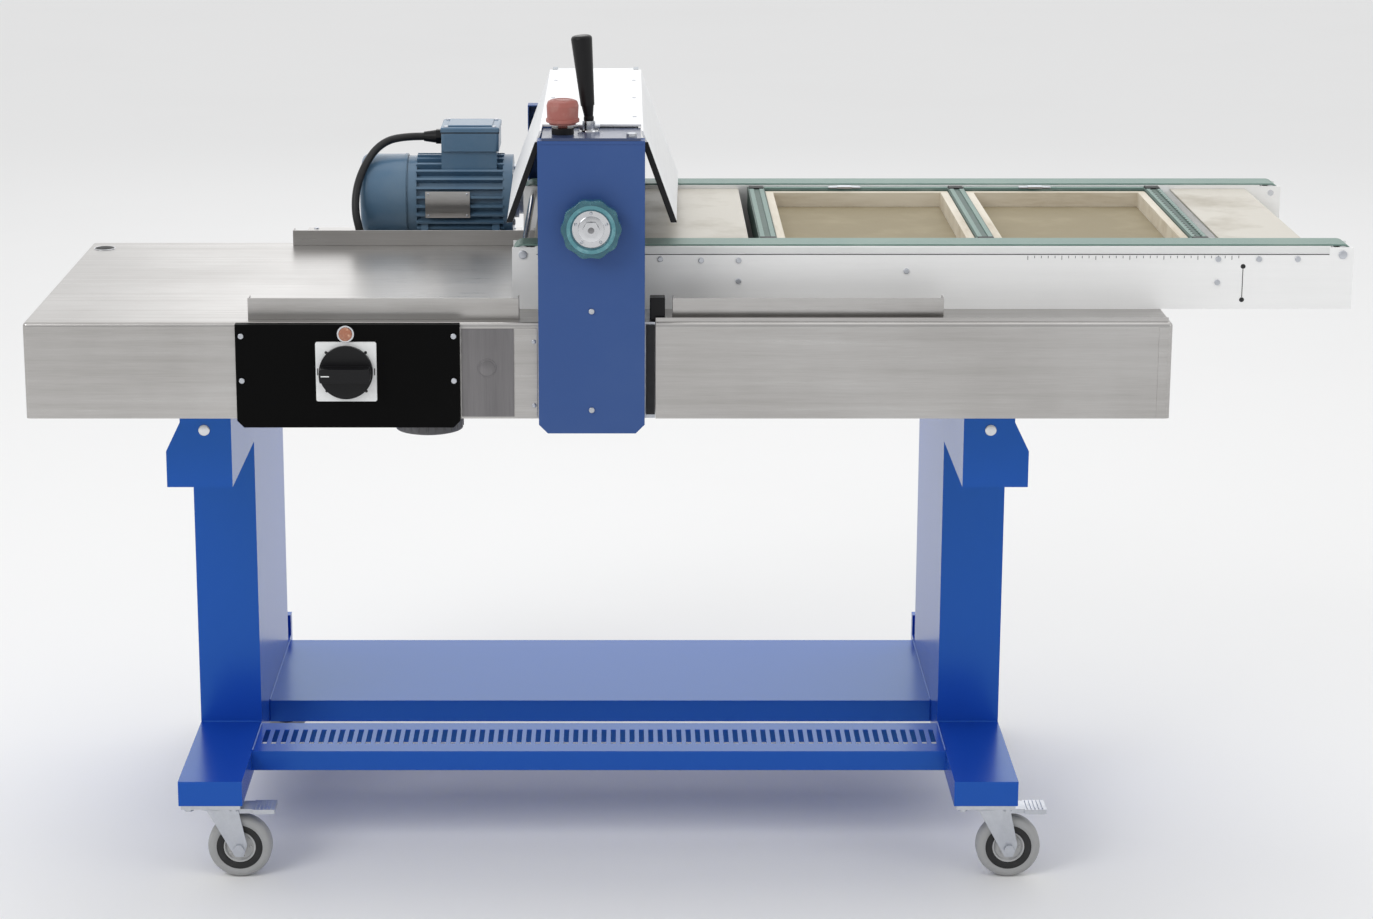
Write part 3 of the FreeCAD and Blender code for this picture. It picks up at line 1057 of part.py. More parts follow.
def belt(y0):
    """A flat belt round the drive and tail pulleys."""
    first = y0 + BELT_EDGE
    loops = []
    for radius in (PULLEY_R + CLEAR + BELT_THICK, PULLEY_R + CLEAR):
        ends = []
        for x in (DRIVE_PULLEY_X, TAIL_PULLEY_X):
            ends.append(rod(radius, V(x, first, PULLEY_Z), Y_AXIS, BELT_WIDTH))
        middle = box(DRIVE_PULLEY_X, TAIL_PULLEY_X, first, first + BELT_WIDTH, PULLEY_Z - radius,
                     PULLEY_Z + radius)
        loops.append(fused(middle, *ends))
    return loops[0].cut(loops[1])


def bed_plate(x0, x1):
    """A flat plate between the rails with a skirt down each rail's inner face."""
    z = BELT_Z - PLATE_DROP
    skirt = 22.0
    plate = box(x0, x1, RAIL_INNER_FRONT, REAR_RAIL_FRONT, z - PLATE_THICK, z)
    sides = []
    for y in (RAIL_INNER_FRONT, REAR_RAIL_FRONT - PLATE_THICK):
        sides.append(box(x0, x1, y, y + PLATE_THICK, z - skirt, z))
    return fused(plate, *sides)


def end_plate():
    """The last plate: flat, then sloping down between the rail ends."""
    z = BELT_Z - PLATE_DROP
    x0, x1 = END_PLATE
    x2 = x1 + END_SLOPE_RUN
    low = z - END_SLOPE_DROP
    lean = PLATE_THICK * math.hypot(END_SLOPE_RUN, END_SLOPE_DROP) / END_SLOPE_RUN
    joint = (lean - PLATE_THICK) * END_SLOPE_RUN / END_SLOPE_DROP
    y = RAIL_INNER_FRONT
    outline = [V(x0, y, z - PLATE_THICK), V(x0, y, z), V(x1, y, z), V(x2, y, low), V(x2, y, low - lean),
               V(x1 - joint, y, z - PLATE_THICK)]
    return prism(outline, Y_AXIS * (REAR_RAIL_FRONT - RAIL_INNER_FRONT))


def build_bed():
    starts = (BED_FRONT, REAR_RAIL_FRONT)
    write("bed_belts", *[belt(y) for y in starts])
    for name, x in (("drive_pulleys", DRIVE_PULLEY_X), ("tail_pulleys", TAIL_PULLEY_X)):
        solids = []
        for y in starts:
            wheel = rod(PULLEY_R, V(x, y + BELT_EDGE, PULLEY_Z), Y_AXIS, BELT_WIDTH)
            axle = rod(PULLEY_AXLE_R, V(x, y + 0.5, PULLEY_Z), Y_AXIS, RAIL_WIDTH - 1)
            solids.append(fused(wheel, axle))
        if name == "drive_pulleys":
            shaft = rod(PULLEY_AXLE_R, V(x, BED_FRONT + RAIL_WIDTH / 2, PULLEY_Z), Y_AXIS,
                        REAR_RAIL_FRONT - BED_FRONT)
            solids = [fused(shaft, *solids)]
        write(name, *solids)
    write("bed_plates", bed_plate(*INFEED_PLATE), bed_plate(*MIDDLE_PLATE), end_plate())

    top = BELT_Z - FRAME_DROP
    low = top - FRAME_HEIGHT
    length = sum(POCKET_LENGTHS) + CROSSBAR * (len(POCKET_LENGTHS) + 1)
    y0, y1 = RAIL_INNER_FRONT, REAR_RAIL_FRONT
    frame = box(FRAME_LEFT, FRAME_LEFT + length, y0, y1, low, top)
    pockets = []
    trays = []
    x = FRAME_LEFT + CROSSBAR
    rest = low + LEDGE_THICK
    for pocket in POCKET_LENGTHS:
        pockets.append(box(x, x + pocket, y0 + SIDE_BAR, y1 - SIDE_BAR, rest, top + 1))
        pockets.append(box(x + LEDGE, x + pocket - LEDGE, y0 + SIDE_BAR + LEDGE, y1 - SIDE_BAR - LEDGE,
                           low - 1, rest + 1))
        tray = box(x + SLIDING, x + pocket - SLIDING, y0 + SIDE_BAR + SLIDING, y1 - SIDE_BAR - SLIDING,
                   rest + CLEAR, top - TRAY_RIM_DROP)
        wall = SLIDING + TRAY_WALL
        room = box(x + wall, x + pocket - wall, y0 + SIDE_BAR + wall, y1 - SIDE_BAR - wall,
                   top - TRAY_RIM_DROP - TRAY_HEIGHT + TRAY_FLOOR, top)
        trays.append(tray.cut(room))
        x += pocket + CROSSBAR
    write("tray_frame", frame.cut(Part.makeCompound(pockets[:2])).cut(Part.makeCompound(pockets[2:])))
    write("tray_left", trays[0])
    write("tray_right", trays[1])


# ---------------------------------------------------------------- fasteners
RAIL_SCREWS = ((100.0, 75.0), (160.0, 73.0), (215.0, 73.0), (215.0, 42.0), (462.0, 57.0), (920.0, 75.0),
               (920.0, 40.0), (980.0, 75.0), (1037.0, 75.0))


def screw_seats():
    """Where each pan-head screw sits, and the way its head points."""
    forward = Y_AXIS * -1
    seats = []
    middle = -PANEL_LEFT + PANEL_LENGTH / 2
    top = STAND_HEIGHT - PANEL_DROP + PANEL_HEIGHT - PANEL_SCREW_DROP
    for x in (middle - PANEL_SCREW_X / 2, middle + PANEL_SCREW_X / 2):
        for z in (top, top - 2 * PANEL_SCREW_Z):
            seats.append((V(x, -PANEL_THICK, z), forward))
    for rise in COVER_SCREW_RISES:
        seats.append((V(0, COVER_FRONT, STAND_HEIGHT - COVER_DROP + rise), forward))
    for x, rise in RAIL_SCREWS:
        seats.append((V(x, BED_FRONT, TABLE_Z + rise), forward))
    return seats


def main():
    os.makedirs("parts", exist_ok=True)
    seats = screw_seats()
    screws = [screw(seat, out) for seat, out in seats]
    holes = [screw_hole(seat, out) for seat, out in seats]
    build_stand()
    build_casters()
    build_base(holes)
    build_head(holes)
    build_drive()
    build_bed()
    write("bed_rails", *[cut(rail(y), *holes) for y in (BED_FRONT, REAR_RAIL_FRONT)])
    write("pan_screws", *screws)


main()
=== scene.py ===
"""Looks of a through-feed roller machine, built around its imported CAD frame.

Sizes in the classes are millimetres about the machine's own datum: X = 0 is the head's
middle plane, Y = 0 the base's front face and Z = 0 the floor.
"""
import logging
import math
from dataclasses import dataclass, field
from enum import Enum
from typing import Sequence

import bmesh
import bpy
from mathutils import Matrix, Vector


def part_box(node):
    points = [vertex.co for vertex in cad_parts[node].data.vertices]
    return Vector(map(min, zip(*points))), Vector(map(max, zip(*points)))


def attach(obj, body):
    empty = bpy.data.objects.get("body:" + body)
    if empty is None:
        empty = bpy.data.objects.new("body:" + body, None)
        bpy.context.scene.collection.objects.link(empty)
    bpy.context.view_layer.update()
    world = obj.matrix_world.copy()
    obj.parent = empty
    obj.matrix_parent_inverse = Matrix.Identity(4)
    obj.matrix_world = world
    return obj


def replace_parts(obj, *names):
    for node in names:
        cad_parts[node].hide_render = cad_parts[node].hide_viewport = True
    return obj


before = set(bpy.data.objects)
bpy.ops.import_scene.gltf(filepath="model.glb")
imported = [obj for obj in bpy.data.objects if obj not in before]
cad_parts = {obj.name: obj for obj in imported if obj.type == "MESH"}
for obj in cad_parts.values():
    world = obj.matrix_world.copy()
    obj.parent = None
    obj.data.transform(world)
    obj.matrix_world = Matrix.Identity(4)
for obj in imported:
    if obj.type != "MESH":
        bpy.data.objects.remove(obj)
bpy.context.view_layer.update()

log = logging.getLogger("roller_machine")

MM = 0.001
Point = Sequence[float]
Profile = Sequence[tuple[float, float]]
Colour = tuple[float, float, float]
Socket = bpy.types.NodeSocket
Sockets = bpy.types.bpy_prop_collection


def datum() -> Vector:
    """The machine's datum in the row frame, read from the head cover and the base."""
    low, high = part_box("head_cover")
    return Vector(((low.x + high.x) / 2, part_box("base_cover_left")[0].y, 0.0))


DATUM = datum()


def at(x: float, y: float, z: float) -> Vector:
    """A point given in millimetres about the machine's datum, in the row frame."""
    return DATUM + Vector((x, y, z)) * MM


def extents(node: str) -> tuple[Vector, Vector]:
    """The lowest and highest corner of a CAD node, in millimetres about the datum."""
    low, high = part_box(node)
    return (low - DATUM) / MM, (high - DATUM) / MM


# ------------------------------------------------------------------ shader groups
class Sock(Enum):
    """Kinds of socket on a shader group."""

    COLOUR = "NodeSocketColor"
    VALUE = "NodeSocketFloat"
    VECTOR = "NodeSocketVector"


class Graph:
    """Adds nodes and links to one node tree."""

    def __init__(self, tree: bpy.types.NodeTree) -> None:
        """Keeps the tree that nodes are added to."""
        self.tree = tree

    def feed(self, inputs: Sockets, values: dict) -> None:
        """Links or sets a node's inputs.

        Args:
            inputs: the node's inputs.
            values: output sockets or plain values, by the input's name or number.
        """
        for key, value in values.items():
            if isinstance(value, Socket):
                self.tree.links.new(value, inputs[key])
            else:
                inputs[key].default_value = value

    def add(self, kind: str, values: dict | None = None, **properties: object) -> bpy.types.Node:
        """Adds one node.

        Args:
            kind: the node's Blender type.
            values: values or output sockets for the node's inputs, by name or number.
            properties: attributes to set on the node before its inputs.

        Returns:
            The new node.
        """
        node = self.tree.nodes.new(kind)
        for name, value in properties.items():
            setattr(node, name, value)
        self.feed(node.inputs, values or {})
        return node

    def math(self, operation: str, first: object, second: object) -> Socket:
        """Adds a Math node on two values or sockets and returns its output."""
        return self.add("ShaderNodeMath", {0: first, 1: second}, operation=operation).outputs[0]

    def span(self, value: object, low: float, high: float, start: object, end: object) -> Socket:
        """Maps value from low..high to start..end, clamped, and returns the output."""
        ends = {"From Min": low, "From Max": high, "To Min": start, "To Max": end}
        return self.add("ShaderNodeMapRange", {"Value": value, **ends}).outputs["Result"]

    def blend(self, factor: object, first: object, second: object) -> Socket:
        """Mixes two colours and returns the mixed colour."""
        colours = {0: factor, 6: first, 7: second}
        return self.add("ShaderNodeMix", colours, data_type="RGBA").outputs[2]

    def noise(self, vector: object, scale: object, detail: float, rough: float) -> Socket:
        """Adds a Noise Texture and returns its factor."""
        values = {"Vector": vector, "Scale": scale, "Detail": detail, "Roughness": rough}
        return self.add("ShaderNodeTexNoise", values).outputs["Fac"]

    def place(self) -> Socket:
        """The surface point in its object's own metres."""
        return self.add("ShaderNodeTexCoord").outputs["Object"]

    def stretched(self, stretch: object) -> Socket:
        """The surface point drawn out along one direction."""
        values = {"Vector": self.place(), "Scale": stretch}
        return self.add("ShaderNodeMapping", values).outputs["Vector"]

    def bump(self, height: object, strength: object, distance: float) -> Socket:
        """Adds a Bump node and returns its normal."""
        values = {"Height": height, "Strength": strength, "Distance": distance}
        return self.add("ShaderNodeBump", values).outputs["Normal"]


class ShaderGroup:
    """A named node group that several finishes share."""

    name = "group"
    sockets_in: tuple[tuple[str, Sock], ...] = ()
    sockets_out: tuple[tuple[str, Sock], ...] = ()

    @classmethod
    def tree(cls) -> bpy.types.NodeTree:
        """The group's node tree, built on first use.

        Returns:
            The tree that all users of the group share.
        """
        found = bpy.data.node_groups.get(cls.name)
        if found:
            return found
        tree = bpy.data.node_groups.new(cls.name, "ShaderNodeTree")
        for side, sockets in (("INPUT", cls.sockets_in), ("OUTPUT", cls.sockets_out)):
            for name, kind in sockets:
                tree.interface.new_socket(name, in_out=side, socket_type=kind.value)
        graph = Graph(tree)
        start = graph.add("NodeGroupInput")
        end = graph.add("NodeGroupOutput")
        graph.feed(end.inputs, cls.wire(graph, start.outputs))
        return tree

    @classmethod
    def wire(cls, graph: Graph, given: Sockets) -> dict[str, Socket]:
        """Builds the group's inside.

        Args:
            graph: the group's own graph.
            given: what the group is given, by name.

        Returns:
            The sockets that the group puts out, by name.
        """
        raise NotImplementedError

    @classmethod
    def use(cls, graph: Graph, **values: object) -> bpy.types.Node:
        """Places the group in a material.

        Args:
            graph: the material's graph.
            values: the group's inputs, with underscores for the spaces in their names.

        Returns:
            The group's node.
        """
        node = graph.add("ShaderNodeGroup", node_tree=cls.tree())
        named = {key.replace("_", " ").capitalize(): value for key, value in values.items()}
        graph.feed(node.inputs, named)
        return node


class Soil(ShaderGroup):
    """Handling marks in patches, and dust that thickens towards the floor."""

    name = "handling_soil"
    sockets_in = (("Clean", Sock.COLOUR), ("Soiled", Sock.COLOUR), ("Amount", Sock.VALUE),
                  ("Scale", Sock.VALUE), ("Roughness", Sock.VALUE), ("Spread", Sock.VALUE),
                  ("Dust", Sock.VALUE))
    sockets_out = (("Colour", Sock.COLOUR), ("Roughness", Sock.VALUE))
    patch_edge = (0.48, 0.74)
    dust_height = 0.35
    fine_scale = 70.0
    roughening = 0.3

    @classmethod
    def wire(cls, graph: Graph, given: Sockets) -> dict[str, Socket]:
        """Patches come from a broad noise and the dust from the height above the floor.

        Args:
            graph: the group's own graph.
            given: what the group is given, by name.

        Returns:
            The soiled colour and its roughness.
        """
        place = graph.place()
        broad = graph.noise(place, given["Scale"], 5.0, 0.6)
        patches = graph.span(broad, *cls.patch_edge, 0.0, given["Amount"])
        height = graph.add("ShaderNodeSeparateXYZ", {0: place}).outputs["Z"]
        low = graph.span(height, 0.0, cls.dust_height, given["Dust"], 0.0)
        soil = graph.math("MAXIMUM", patches, graph.math("MULTIPLY", low, broad))
        fine = graph.noise(place, cls.fine_scale, 4.0, 0.65)
        lift = graph.math("MULTIPLY", graph.math("SUBTRACT", fine, 0.5), given["Spread"])
        rough = graph.math("ADD", graph.math("ADD", given["Roughness"], lift),
                           graph.math("MULTIPLY", soil, cls.roughening))
        return {"Colour": graph.blend(soil, given["Clean"], given["Soiled"]), "Roughness": rough}


class Peel(ShaderGroup):
    """The fine waviness of sprayed paint, a casting or a moulding."""

    name = "surface_peel"
    sockets_in = (("Scale", Sock.VALUE), ("Strength", Sock.VALUE))
    sockets_out = (("Normal", Sock.VECTOR),)
    depth = 0.0006

    @classmethod
    def wire(cls, graph: Graph, given: Sockets) -> dict[str, Socket]:
        """One noise as the height."""
        height = graph.noise(graph.place(), given["Scale"], 2.0, 0.45)
        return {"Normal": graph.bump(height, given["Strength"], cls.depth)}


class BrushedGrain(ShaderGroup):
    """Long fine scratches, drawn out along one direction."""

    name = "brushed_grain"
    sockets_in = (("Stretch", Sock.VECTOR), ("Strength", Sock.VALUE))
    sockets_out = (("Factor", Sock.VALUE), ("Normal", Sock.VECTOR))
    fine_scale = 14.0
    broad_scale = 1.6
    broad_share = 0.45
    depth = 0.0002

    @classmethod
    def wire(cls, graph: Graph, given: Sockets) -> dict[str, Socket]:
        """Two stretched noises, a broad one for tone and a fine one for the scratches.

        Args:
            graph: the group's own graph.
            given: what the group is given, by name.

        Returns:
            The grain's tone and its normal.
        """
        place = graph.stretched(given["Stretch"])
        fine = graph.noise(place, cls.fine_scale, 6.0, 0.7)
        broad = graph.noise(place, cls.broad_scale, 2.0, 0.5)
        tone = graph.add("ShaderNodeMix", {0: cls.broad_share, 2: fine, 3: broad}).outputs[0]
        return {"Factor": tone, "Normal": graph.bump(fine, given["Strength"], cls.depth)}


class Weave(ShaderGroup):
    """The small square weave pressed into a belt's face."""

    name = "belt_weave"
    sockets_in = (("Pitch", Sock.VALUE), ("Strength", Sock.VALUE))
    sockets_out = (("Factor", Sock.VALUE), ("Normal", Sock.VECTOR))
    unevenness = 0.4
    depth = 0.0004

    @classmethod
    def wire(cls, graph: Graph, given: Sockets) -> dict[str, Socket]:
        """Waves across and along the belt, multiplied.

        Args:
            graph: the group's own graph.
            given: what the group is given, by name.

        Returns:
            The weave's height and its normal.
        """
        place = graph.place()
        waves = []
        for axis in ("X", "Y"):
            values = {"Vector": place, "Scale": given["Pitch"], "Distortion": cls.unevenness}
            wave = graph.add("ShaderNodeTexWave", values, bands_direction=axis)
            waves.append(wave.outputs["Fac"])
        height = graph.math("MULTIPLY", *waves)
        return {"Factor": height, "Normal": graph.bump(height, given["Strength"], cls.depth)}


class TimberGrain(ShaderGroup):
    """Growth rings drawn out along a board, with short darker pores."""

    name = "timber_grain"
    sockets_in = (("Pale", Sock.COLOUR), ("Dark", Sock.COLOUR), ("Stretch", Sock.VECTOR))
    sockets_out = (("Colour", Sock.COLOUR), ("Roughness", Sock.VALUE), ("Normal", Sock.VECTOR))
    ring_scale = 5.0
    pore_scale = 42.0
    roughness = (0.48, 0.66)
    pore_strength = 0.2
    depth = 0.0004

    @classmethod
    def wire(cls, graph: Graph, given: Sockets) -> dict[str, Socket]:
        """Distorted bands for the rings and a fine stretched noise for the pores.

        Args:
            graph: the group's own graph.
            given: what the group is given, by name.

        Returns:
            The board's colour, roughness and normal.
        """
        place = graph.stretched(given["Stretch"])
        rings = graph.noise(place, cls.ring_scale, 4.0, 0.6)
        pores = graph.noise(place, cls.pore_scale, 3.0, 0.6)
        mark = graph.math("MULTIPLY", graph.span(rings, 0.35, 0.7, 0.0, 1.0),
                          graph.span(pores, 0.35, 0.65, 0.55, 1.0))
        return {"Colour": graph.blend(mark, given["Pale"], given["Dark"]),
                "Roughness": graph.span(mark, 0.0, 1.0, *cls.roughness),
                "Normal": graph.bump(pores, cls.pore_strength, cls.depth)}


# ------------------------------------------------------------------ finishes
MADE = "_finish"


def rgba(colour: Colour) -> tuple[float, float, float, float]:
    """A colour with full alpha."""
    return (*colour, 1.0)


@dataclass(frozen=True)
class Finish:
    """A finish that makes its material on first use."""

    name: str

    def material(self) -> bpy.types.Material:
        """The finish's material.

        Returns:
            The material that all pieces of this finish share.
        """
        found = bpy.data.materials.get(self.name + MADE)
        if found:
            return found
        material = bpy.data.materials.new(self.name + MADE)
        material.use_nodes = True
        tree = material.node_tree
        self.wire(Graph(tree), tree.nodes["Principled BSDF"].inputs)
        return material

    def wire(self, graph: Graph, shader: Sockets) -> None:
        """Fills in the shader.

        Args:
            graph: the material's graph.
            shader: the Principled shader's inputs.
        """
        raise NotImplementedError


@dataclass(frozen=True)
class Paint(Finish):
    """Sprayed paint, or a moulded plastic or rubber when it has no coat."""

    colour: Colour
    soiled: Colour
    roughness: float = 0.3
    coat: float = 0.0
    peel: float = 0.12
    peel_scale: float = 260.0
    soil: float = 0.35
    soil_scale: float = 5.0
    spread: float = 0.12
    dust: float = 0.0
    specular: float = 0.4
    gloss: Colour = (1.0, 1.0, 1.0)
    transmission: float = 0.0
    coat_roughness: float = 0.12

    def wire(self, graph: Graph, shader: Sockets) -> None:
        """Colour and roughness from the soil group, and the fine waviness as a bump.

        Args:
            graph: the material's graph.
            shader: the Principled shader's inputs.
        """
        soil = Soil.use(graph, clean=rgba(self.colour), soiled=rgba(self.soiled),
                        amount=self.soil, scale=self.soil_scale, roughness=self.roughness,
                        spread=self.spread, dust=self.dust)
        peel = Peel.use(graph, scale=self.peel_scale, strength=self.peel)
        graph.feed(shader, {
            "Base Color": soil.outputs["Colour"],
            "Roughness": soil.outputs["Roughness"],
            "Normal": peel.outputs["Normal"],
            "Coat Weight": self.coat,
            "Coat Roughness": self.coat_roughness,
            "Specular IOR Level": self.specular,
            "Specular Tint": rgba(self.gloss),
            "Transmission Weight": self.transmission,
        })


class Grain(Enum):
    """The way a metal's scratches run, as the stretch of their noise."""

    ALONG_X = (1.2, 60.0, 60.0)
    ALONG_Y = (60.0, 1.2, 60.0)
    ALONG_Z = (60.0, 60.0, 1.2)
    ROUND = (40.0, 2.0, 40.0)
    NONE = (9.0, 9.0, 9.0)


@dataclass(frozen=True)
class Metal(Finish):
    """Bare or plated metal with a grain."""

    pale: Colour
    dark: Colour
    smooth: float = 0.28
    rough: float = 0.46
    grain: Grain = Grain.ALONG_X
    strength: float = 0.18
    anisotropy: float = 0.3
    metallic: float = 1.0
    patch_share: float = 0.45

    def wire(self, graph: Graph, shader: Sockets) -> None:
        """Tone and roughness both follow the grain.

        Args:
            graph: the material's graph.
            shader: the Principled shader's inputs.
        """
        grain = BrushedGrain.use(graph, stretch=self.grain.value, strength=self.strength)
        factor = grain.outputs["Factor"]
        patches = graph.noise(graph.place(), 3.2, 4.0, 0.55)
        tone = graph.math("ADD", graph.span(factor, 0.3, 0.7, 0.0, 1.0 - self.patch_share),
                          graph.span(patches, 0.35, 0.7, 0.0, self.patch_share))
        graph.feed(shader, {
            "Base Color": graph.blend(tone, rgba(self.dark), rgba(self.pale)),
            "Roughness": graph.span(factor, 0.25, 0.75, self.rough, self.smooth),
            "Normal": grain.outputs["Normal"],
            "Metallic": self.metallic,
            "Anisotropic": self.anisotropy,
        })


@dataclass(frozen=True)
class BeltFace(Finish):
    """Green belting with a woven face."""

    colour: Colour
    worn: Colour
    pitch: float = 260.0
    strength: float = 0.35

    def wire(self, graph: Graph, shader: Sockets) -> None:
        """The weave tints the face and raises it a little, and wear pales it in patches.

        Args:
            graph: the material's graph.
            shader: the Principled shader's inputs.
        """
        weave = Weave.use(graph, pitch=self.pitch, strength=self.strength)
        patches = graph.span(graph.noise(graph.place(), 6.0, 5.0, 0.6), 0.4, 0.75, 0.0, 0.7)
        tone = graph.math("ADD", graph.math("MULTIPLY", weave.outputs["Factor"], 0.3), patches)
        graph.feed(shader, {
            "Base Color": graph.blend(tone, rgba(self.colour), rgba(self.worn)),
            "Roughness": graph.span(tone, 0.0, 1.0, 0.38, 0.6),
            "Normal": weave.outputs["Normal"],
        })


@dataclass(frozen=True)
class Timber(Finish):
    """Sealed plywood or board."""

    pale: Colour
    dark: Colour
    grain: Grain = Grain.ALONG_X

    def wire(self, graph: Graph, shader: Sockets) -> None:
        """Everything comes from the timber group.

        Args:
            graph: the material's graph.
            shader: the Principled shader's inputs.
        """
        across, along = 4.0, 0.6
        stretch = tuple(across if part > 10 else along for part in self.grain.value)
        timber = TimberGrain.use(graph, pale=rgba(self.pale), dark=rgba(self.dark),
                                 stretch=stretch)
        outputs = timber.outputs
        graph.feed(shader, {
            "Base Color": outputs["Colour"],
            "Roughness": outputs["Roughness"],
            "Normal": outputs["Normal"],
        })


STAND_PAINT = Paint(
    "stand_paint", (0.006, 0.050, 0.40), (0.012, 0.072, 0.45), 0.25, specular=1.0,
    gloss=(0.25, 0.75, 1.0), peel=0.03, peel_scale=900.0, soil=0.10, soil_scale=1.6,
    spread=0.015, dust=0.10)
HEAD_PAINT = Paint(
    "head_paint", (0.038, 0.088, 0.262), (0.054, 0.108, 0.28), 0.36, coat=0.05, specular=0.2,
    peel=0.10, soil=0.5, spread=0.08)
TOP_PAINT = Paint(
    "top_plate_paint", (0.035, 0.055, 0.13), (0.10, 0.11, 0.13), 0.32, coat=0.3, soil=0.5,
    soil_scale=14.0)
MOTOR_PAINT = Paint(
    "motor_paint", (0.075, 0.155, 0.250), (0.17, 0.24, 0.30), 0.34, coat=0.25, peel=0.30,
    peel_scale=420.0, soil=0.5)
PANEL_BLACK = Paint(
    "panel_black", (0.002, 0.002, 0.002), (0.005, 0.005, 0.005), 0.5, specular=0.06,
    peel=0.18, peel_scale=700.0)
BLACK_PLASTIC = Paint(
    "black_plastic", (0.006, 0.006, 0.007), (0.020, 0.020, 0.021), 0.36, specular=0.25,
    peel=0.2, peel_scale=900.0)
WHITE_PLASTIC = Paint(
    "white_plastic", (0.80, 0.81, 0.81), (0.60, 0.60, 0.58), 0.28, soil=0.3, soil_scale=40.0)
STOP_RED = Paint(
    "stop_red", (0.36, 0.12, 0.10), (0.42, 0.22, 0.19), 0.42, soil=0.8, soil_scale=60.0)
LAMP_LENS = Paint(
    "lamp_lens", (0.50, 0.20, 0.12), (0.75, 0.45, 0.30), 0.12, soil=0.8, soil_scale=160.0,
    transmission=0.25)
WHEEL_TEAL = Paint(
    "handwheel_teal", (0.025, 0.15, 0.20), (0.09, 0.28, 0.33), 0.16, coat=0.5, soil=0.8,
    soil_scale=50.0, transmission=0.35)
INSERT_TEAL = Paint(
    "insert_teal", (0.08, 0.25, 0.29), (0.24, 0.46, 0.50), 0.2, coat=0.4, soil=0.8,
    soil_scale=70.0)
BAND_WHITE = Paint("band_white", (0.80, 0.81, 0.80), (0.66, 0.67, 0.66), 0.4, soil=0.5)
TYRE_GREY = Paint(
    "tyre_grey", (0.40, 0.405, 0.41), (0.24, 0.235, 0.22), 0.62, peel=0.3, peel_scale=600.0,
    soil=0.5, soil_scale=30.0, dust=0.5)
HUB_GREY = Paint(
    "hub_grey", (0.52, 0.525, 0.53), (0.33, 0.32, 0.30), 0.42, soil=0.5, soil_scale=40.0,
    dust=0.3)
RING_BLACK = Paint(
    "ring_black", (0.012, 0.012, 0.013), (0.06, 0.06, 0.058), 0.5, soil=0.5, soil_scale=50.0,
    dust=0.4)
CABLE_BLACK = Paint(
    "cable_black", (0.010, 0.010, 0.011), (0.040, 0.040, 0.042), 0.42, peel=0.25,
    peel_scale=1200.0, soil_scale=24.0)
PLATE_BEIGE = Paint(
    "plate_beige", (0.56, 0.53, 0.465), (0.38, 0.345, 0.28), 0.46, coat=0.05, peel=0.1,
    soil=0.8, soil_scale=7.0)
FRAME_TEAL = Paint(
    "frame_teal", (0.055, 0.105, 0.090), (0.17, 0.22, 0.19), 0.48, soil=0.8, soil_scale=22.0)
# Darker khaki for the tray floors: painted shade for the shadow inside the tray walls.
PAINTED_TRAY_SHADE = Paint(
    "painted_tray_shade", (0.29, 0.245, 0.155), (0.39, 0.34, 0.24), 0.72, peel=0.4, peel_scale=900.0,
    soil=0.7, soil_scale=12.0)
FAN_GREY = Paint(
    "fan_grey", (0.10, 0.10, 0.105), (0.24, 0.24, 0.24), 0.5, soil=0.6, soil_scale=30.0)
# Black for printed marks and small dark parts, and also for the painted shade in the rail grooves.
MARK_AND_SHADE_BLACK = Paint(
    "mark_and_shade_black", (0.015, 0.015, 0.016), (0.05, 0.05, 0.05), 0.55, soil_scale=80.0)
FLOOR_PAPER = Paint(
    "studio_paper", (0.86, 0.86, 0.86), (0.83, 0.83, 0.83), 0.9, soil=0.3, soil_scale=0.7)
STAINLESS = Metal("stainless_sheet", (0.60, 0.59, 0.58), (0.40, 0.385, 0.37), 0.24, 0.38)
STAINLESS_DARK = Metal(
    "stainless_plate", (0.27, 0.26, 0.265), (0.17, 0.165, 0.17), 0.30, 0.46, Grain.ALONG_Z)
HOOD_STEEL = Metal(
    "hood_sheet", (0.90, 0.91, 0.92), (0.78, 0.79, 0.81), 0.34, 0.48, Grain.ALONG_Y,
    metallic=0.1)
ALUMINIUM = Metal(
    "rail_aluminium", (0.94, 0.94, 0.935), (0.86, 0.86, 0.855), 0.36, 0.50, metallic=0.1)
ZINC = Metal("zinc_plate", (0.66, 0.68, 0.72), (0.46, 0.48, 0.52), 0.25, 0.5, Grain.NONE, 0.3)
POLISHED = Metal(
    "polished_steel", (0.74, 0.75, 0.77), (0.58, 0.59, 0.61), 0.10, 0.24, Grain.ROUND, 0.06)
GEAR_STEEL = Metal(
    "gear_steel", (0.36, 0.36, 0.37), (0.20, 0.20, 0.21), 0.30, 0.5, Grain.ROUND, 0.2)
CAST_METAL = Metal(
    "cast_housing", (0.48, 0.51, 0.54), (0.36, 0.39, 0.42), 0.42, 0.6, Grain.NONE, 0.8, 0.0)
BELT_GREEN = BeltFace("belt_green", (0.105, 0.205, 0.175), (0.27, 0.36, 0.32))
TRAY_TIMBER = Timber("tray_timber", (0.70, 0.645, 0.54), (0.50, 0.43, 0.32))
TRAY_TIMBER_ACROSS = Timber(
    "tray_timber_across", (0.72, 0.665, 0.56), (0.52, 0.45, 0.34), Grain.ALONG_Y)


# ------------------------------------------------------------------ making pieces
class Axis(Enum):
    """The direction a turned shape's axis runs."""

    X = (1.0, 0.0, 0.0)
    Y = (0.0, 1.0, 0.0)
    Z = (0.0, 0.0, 1.0)


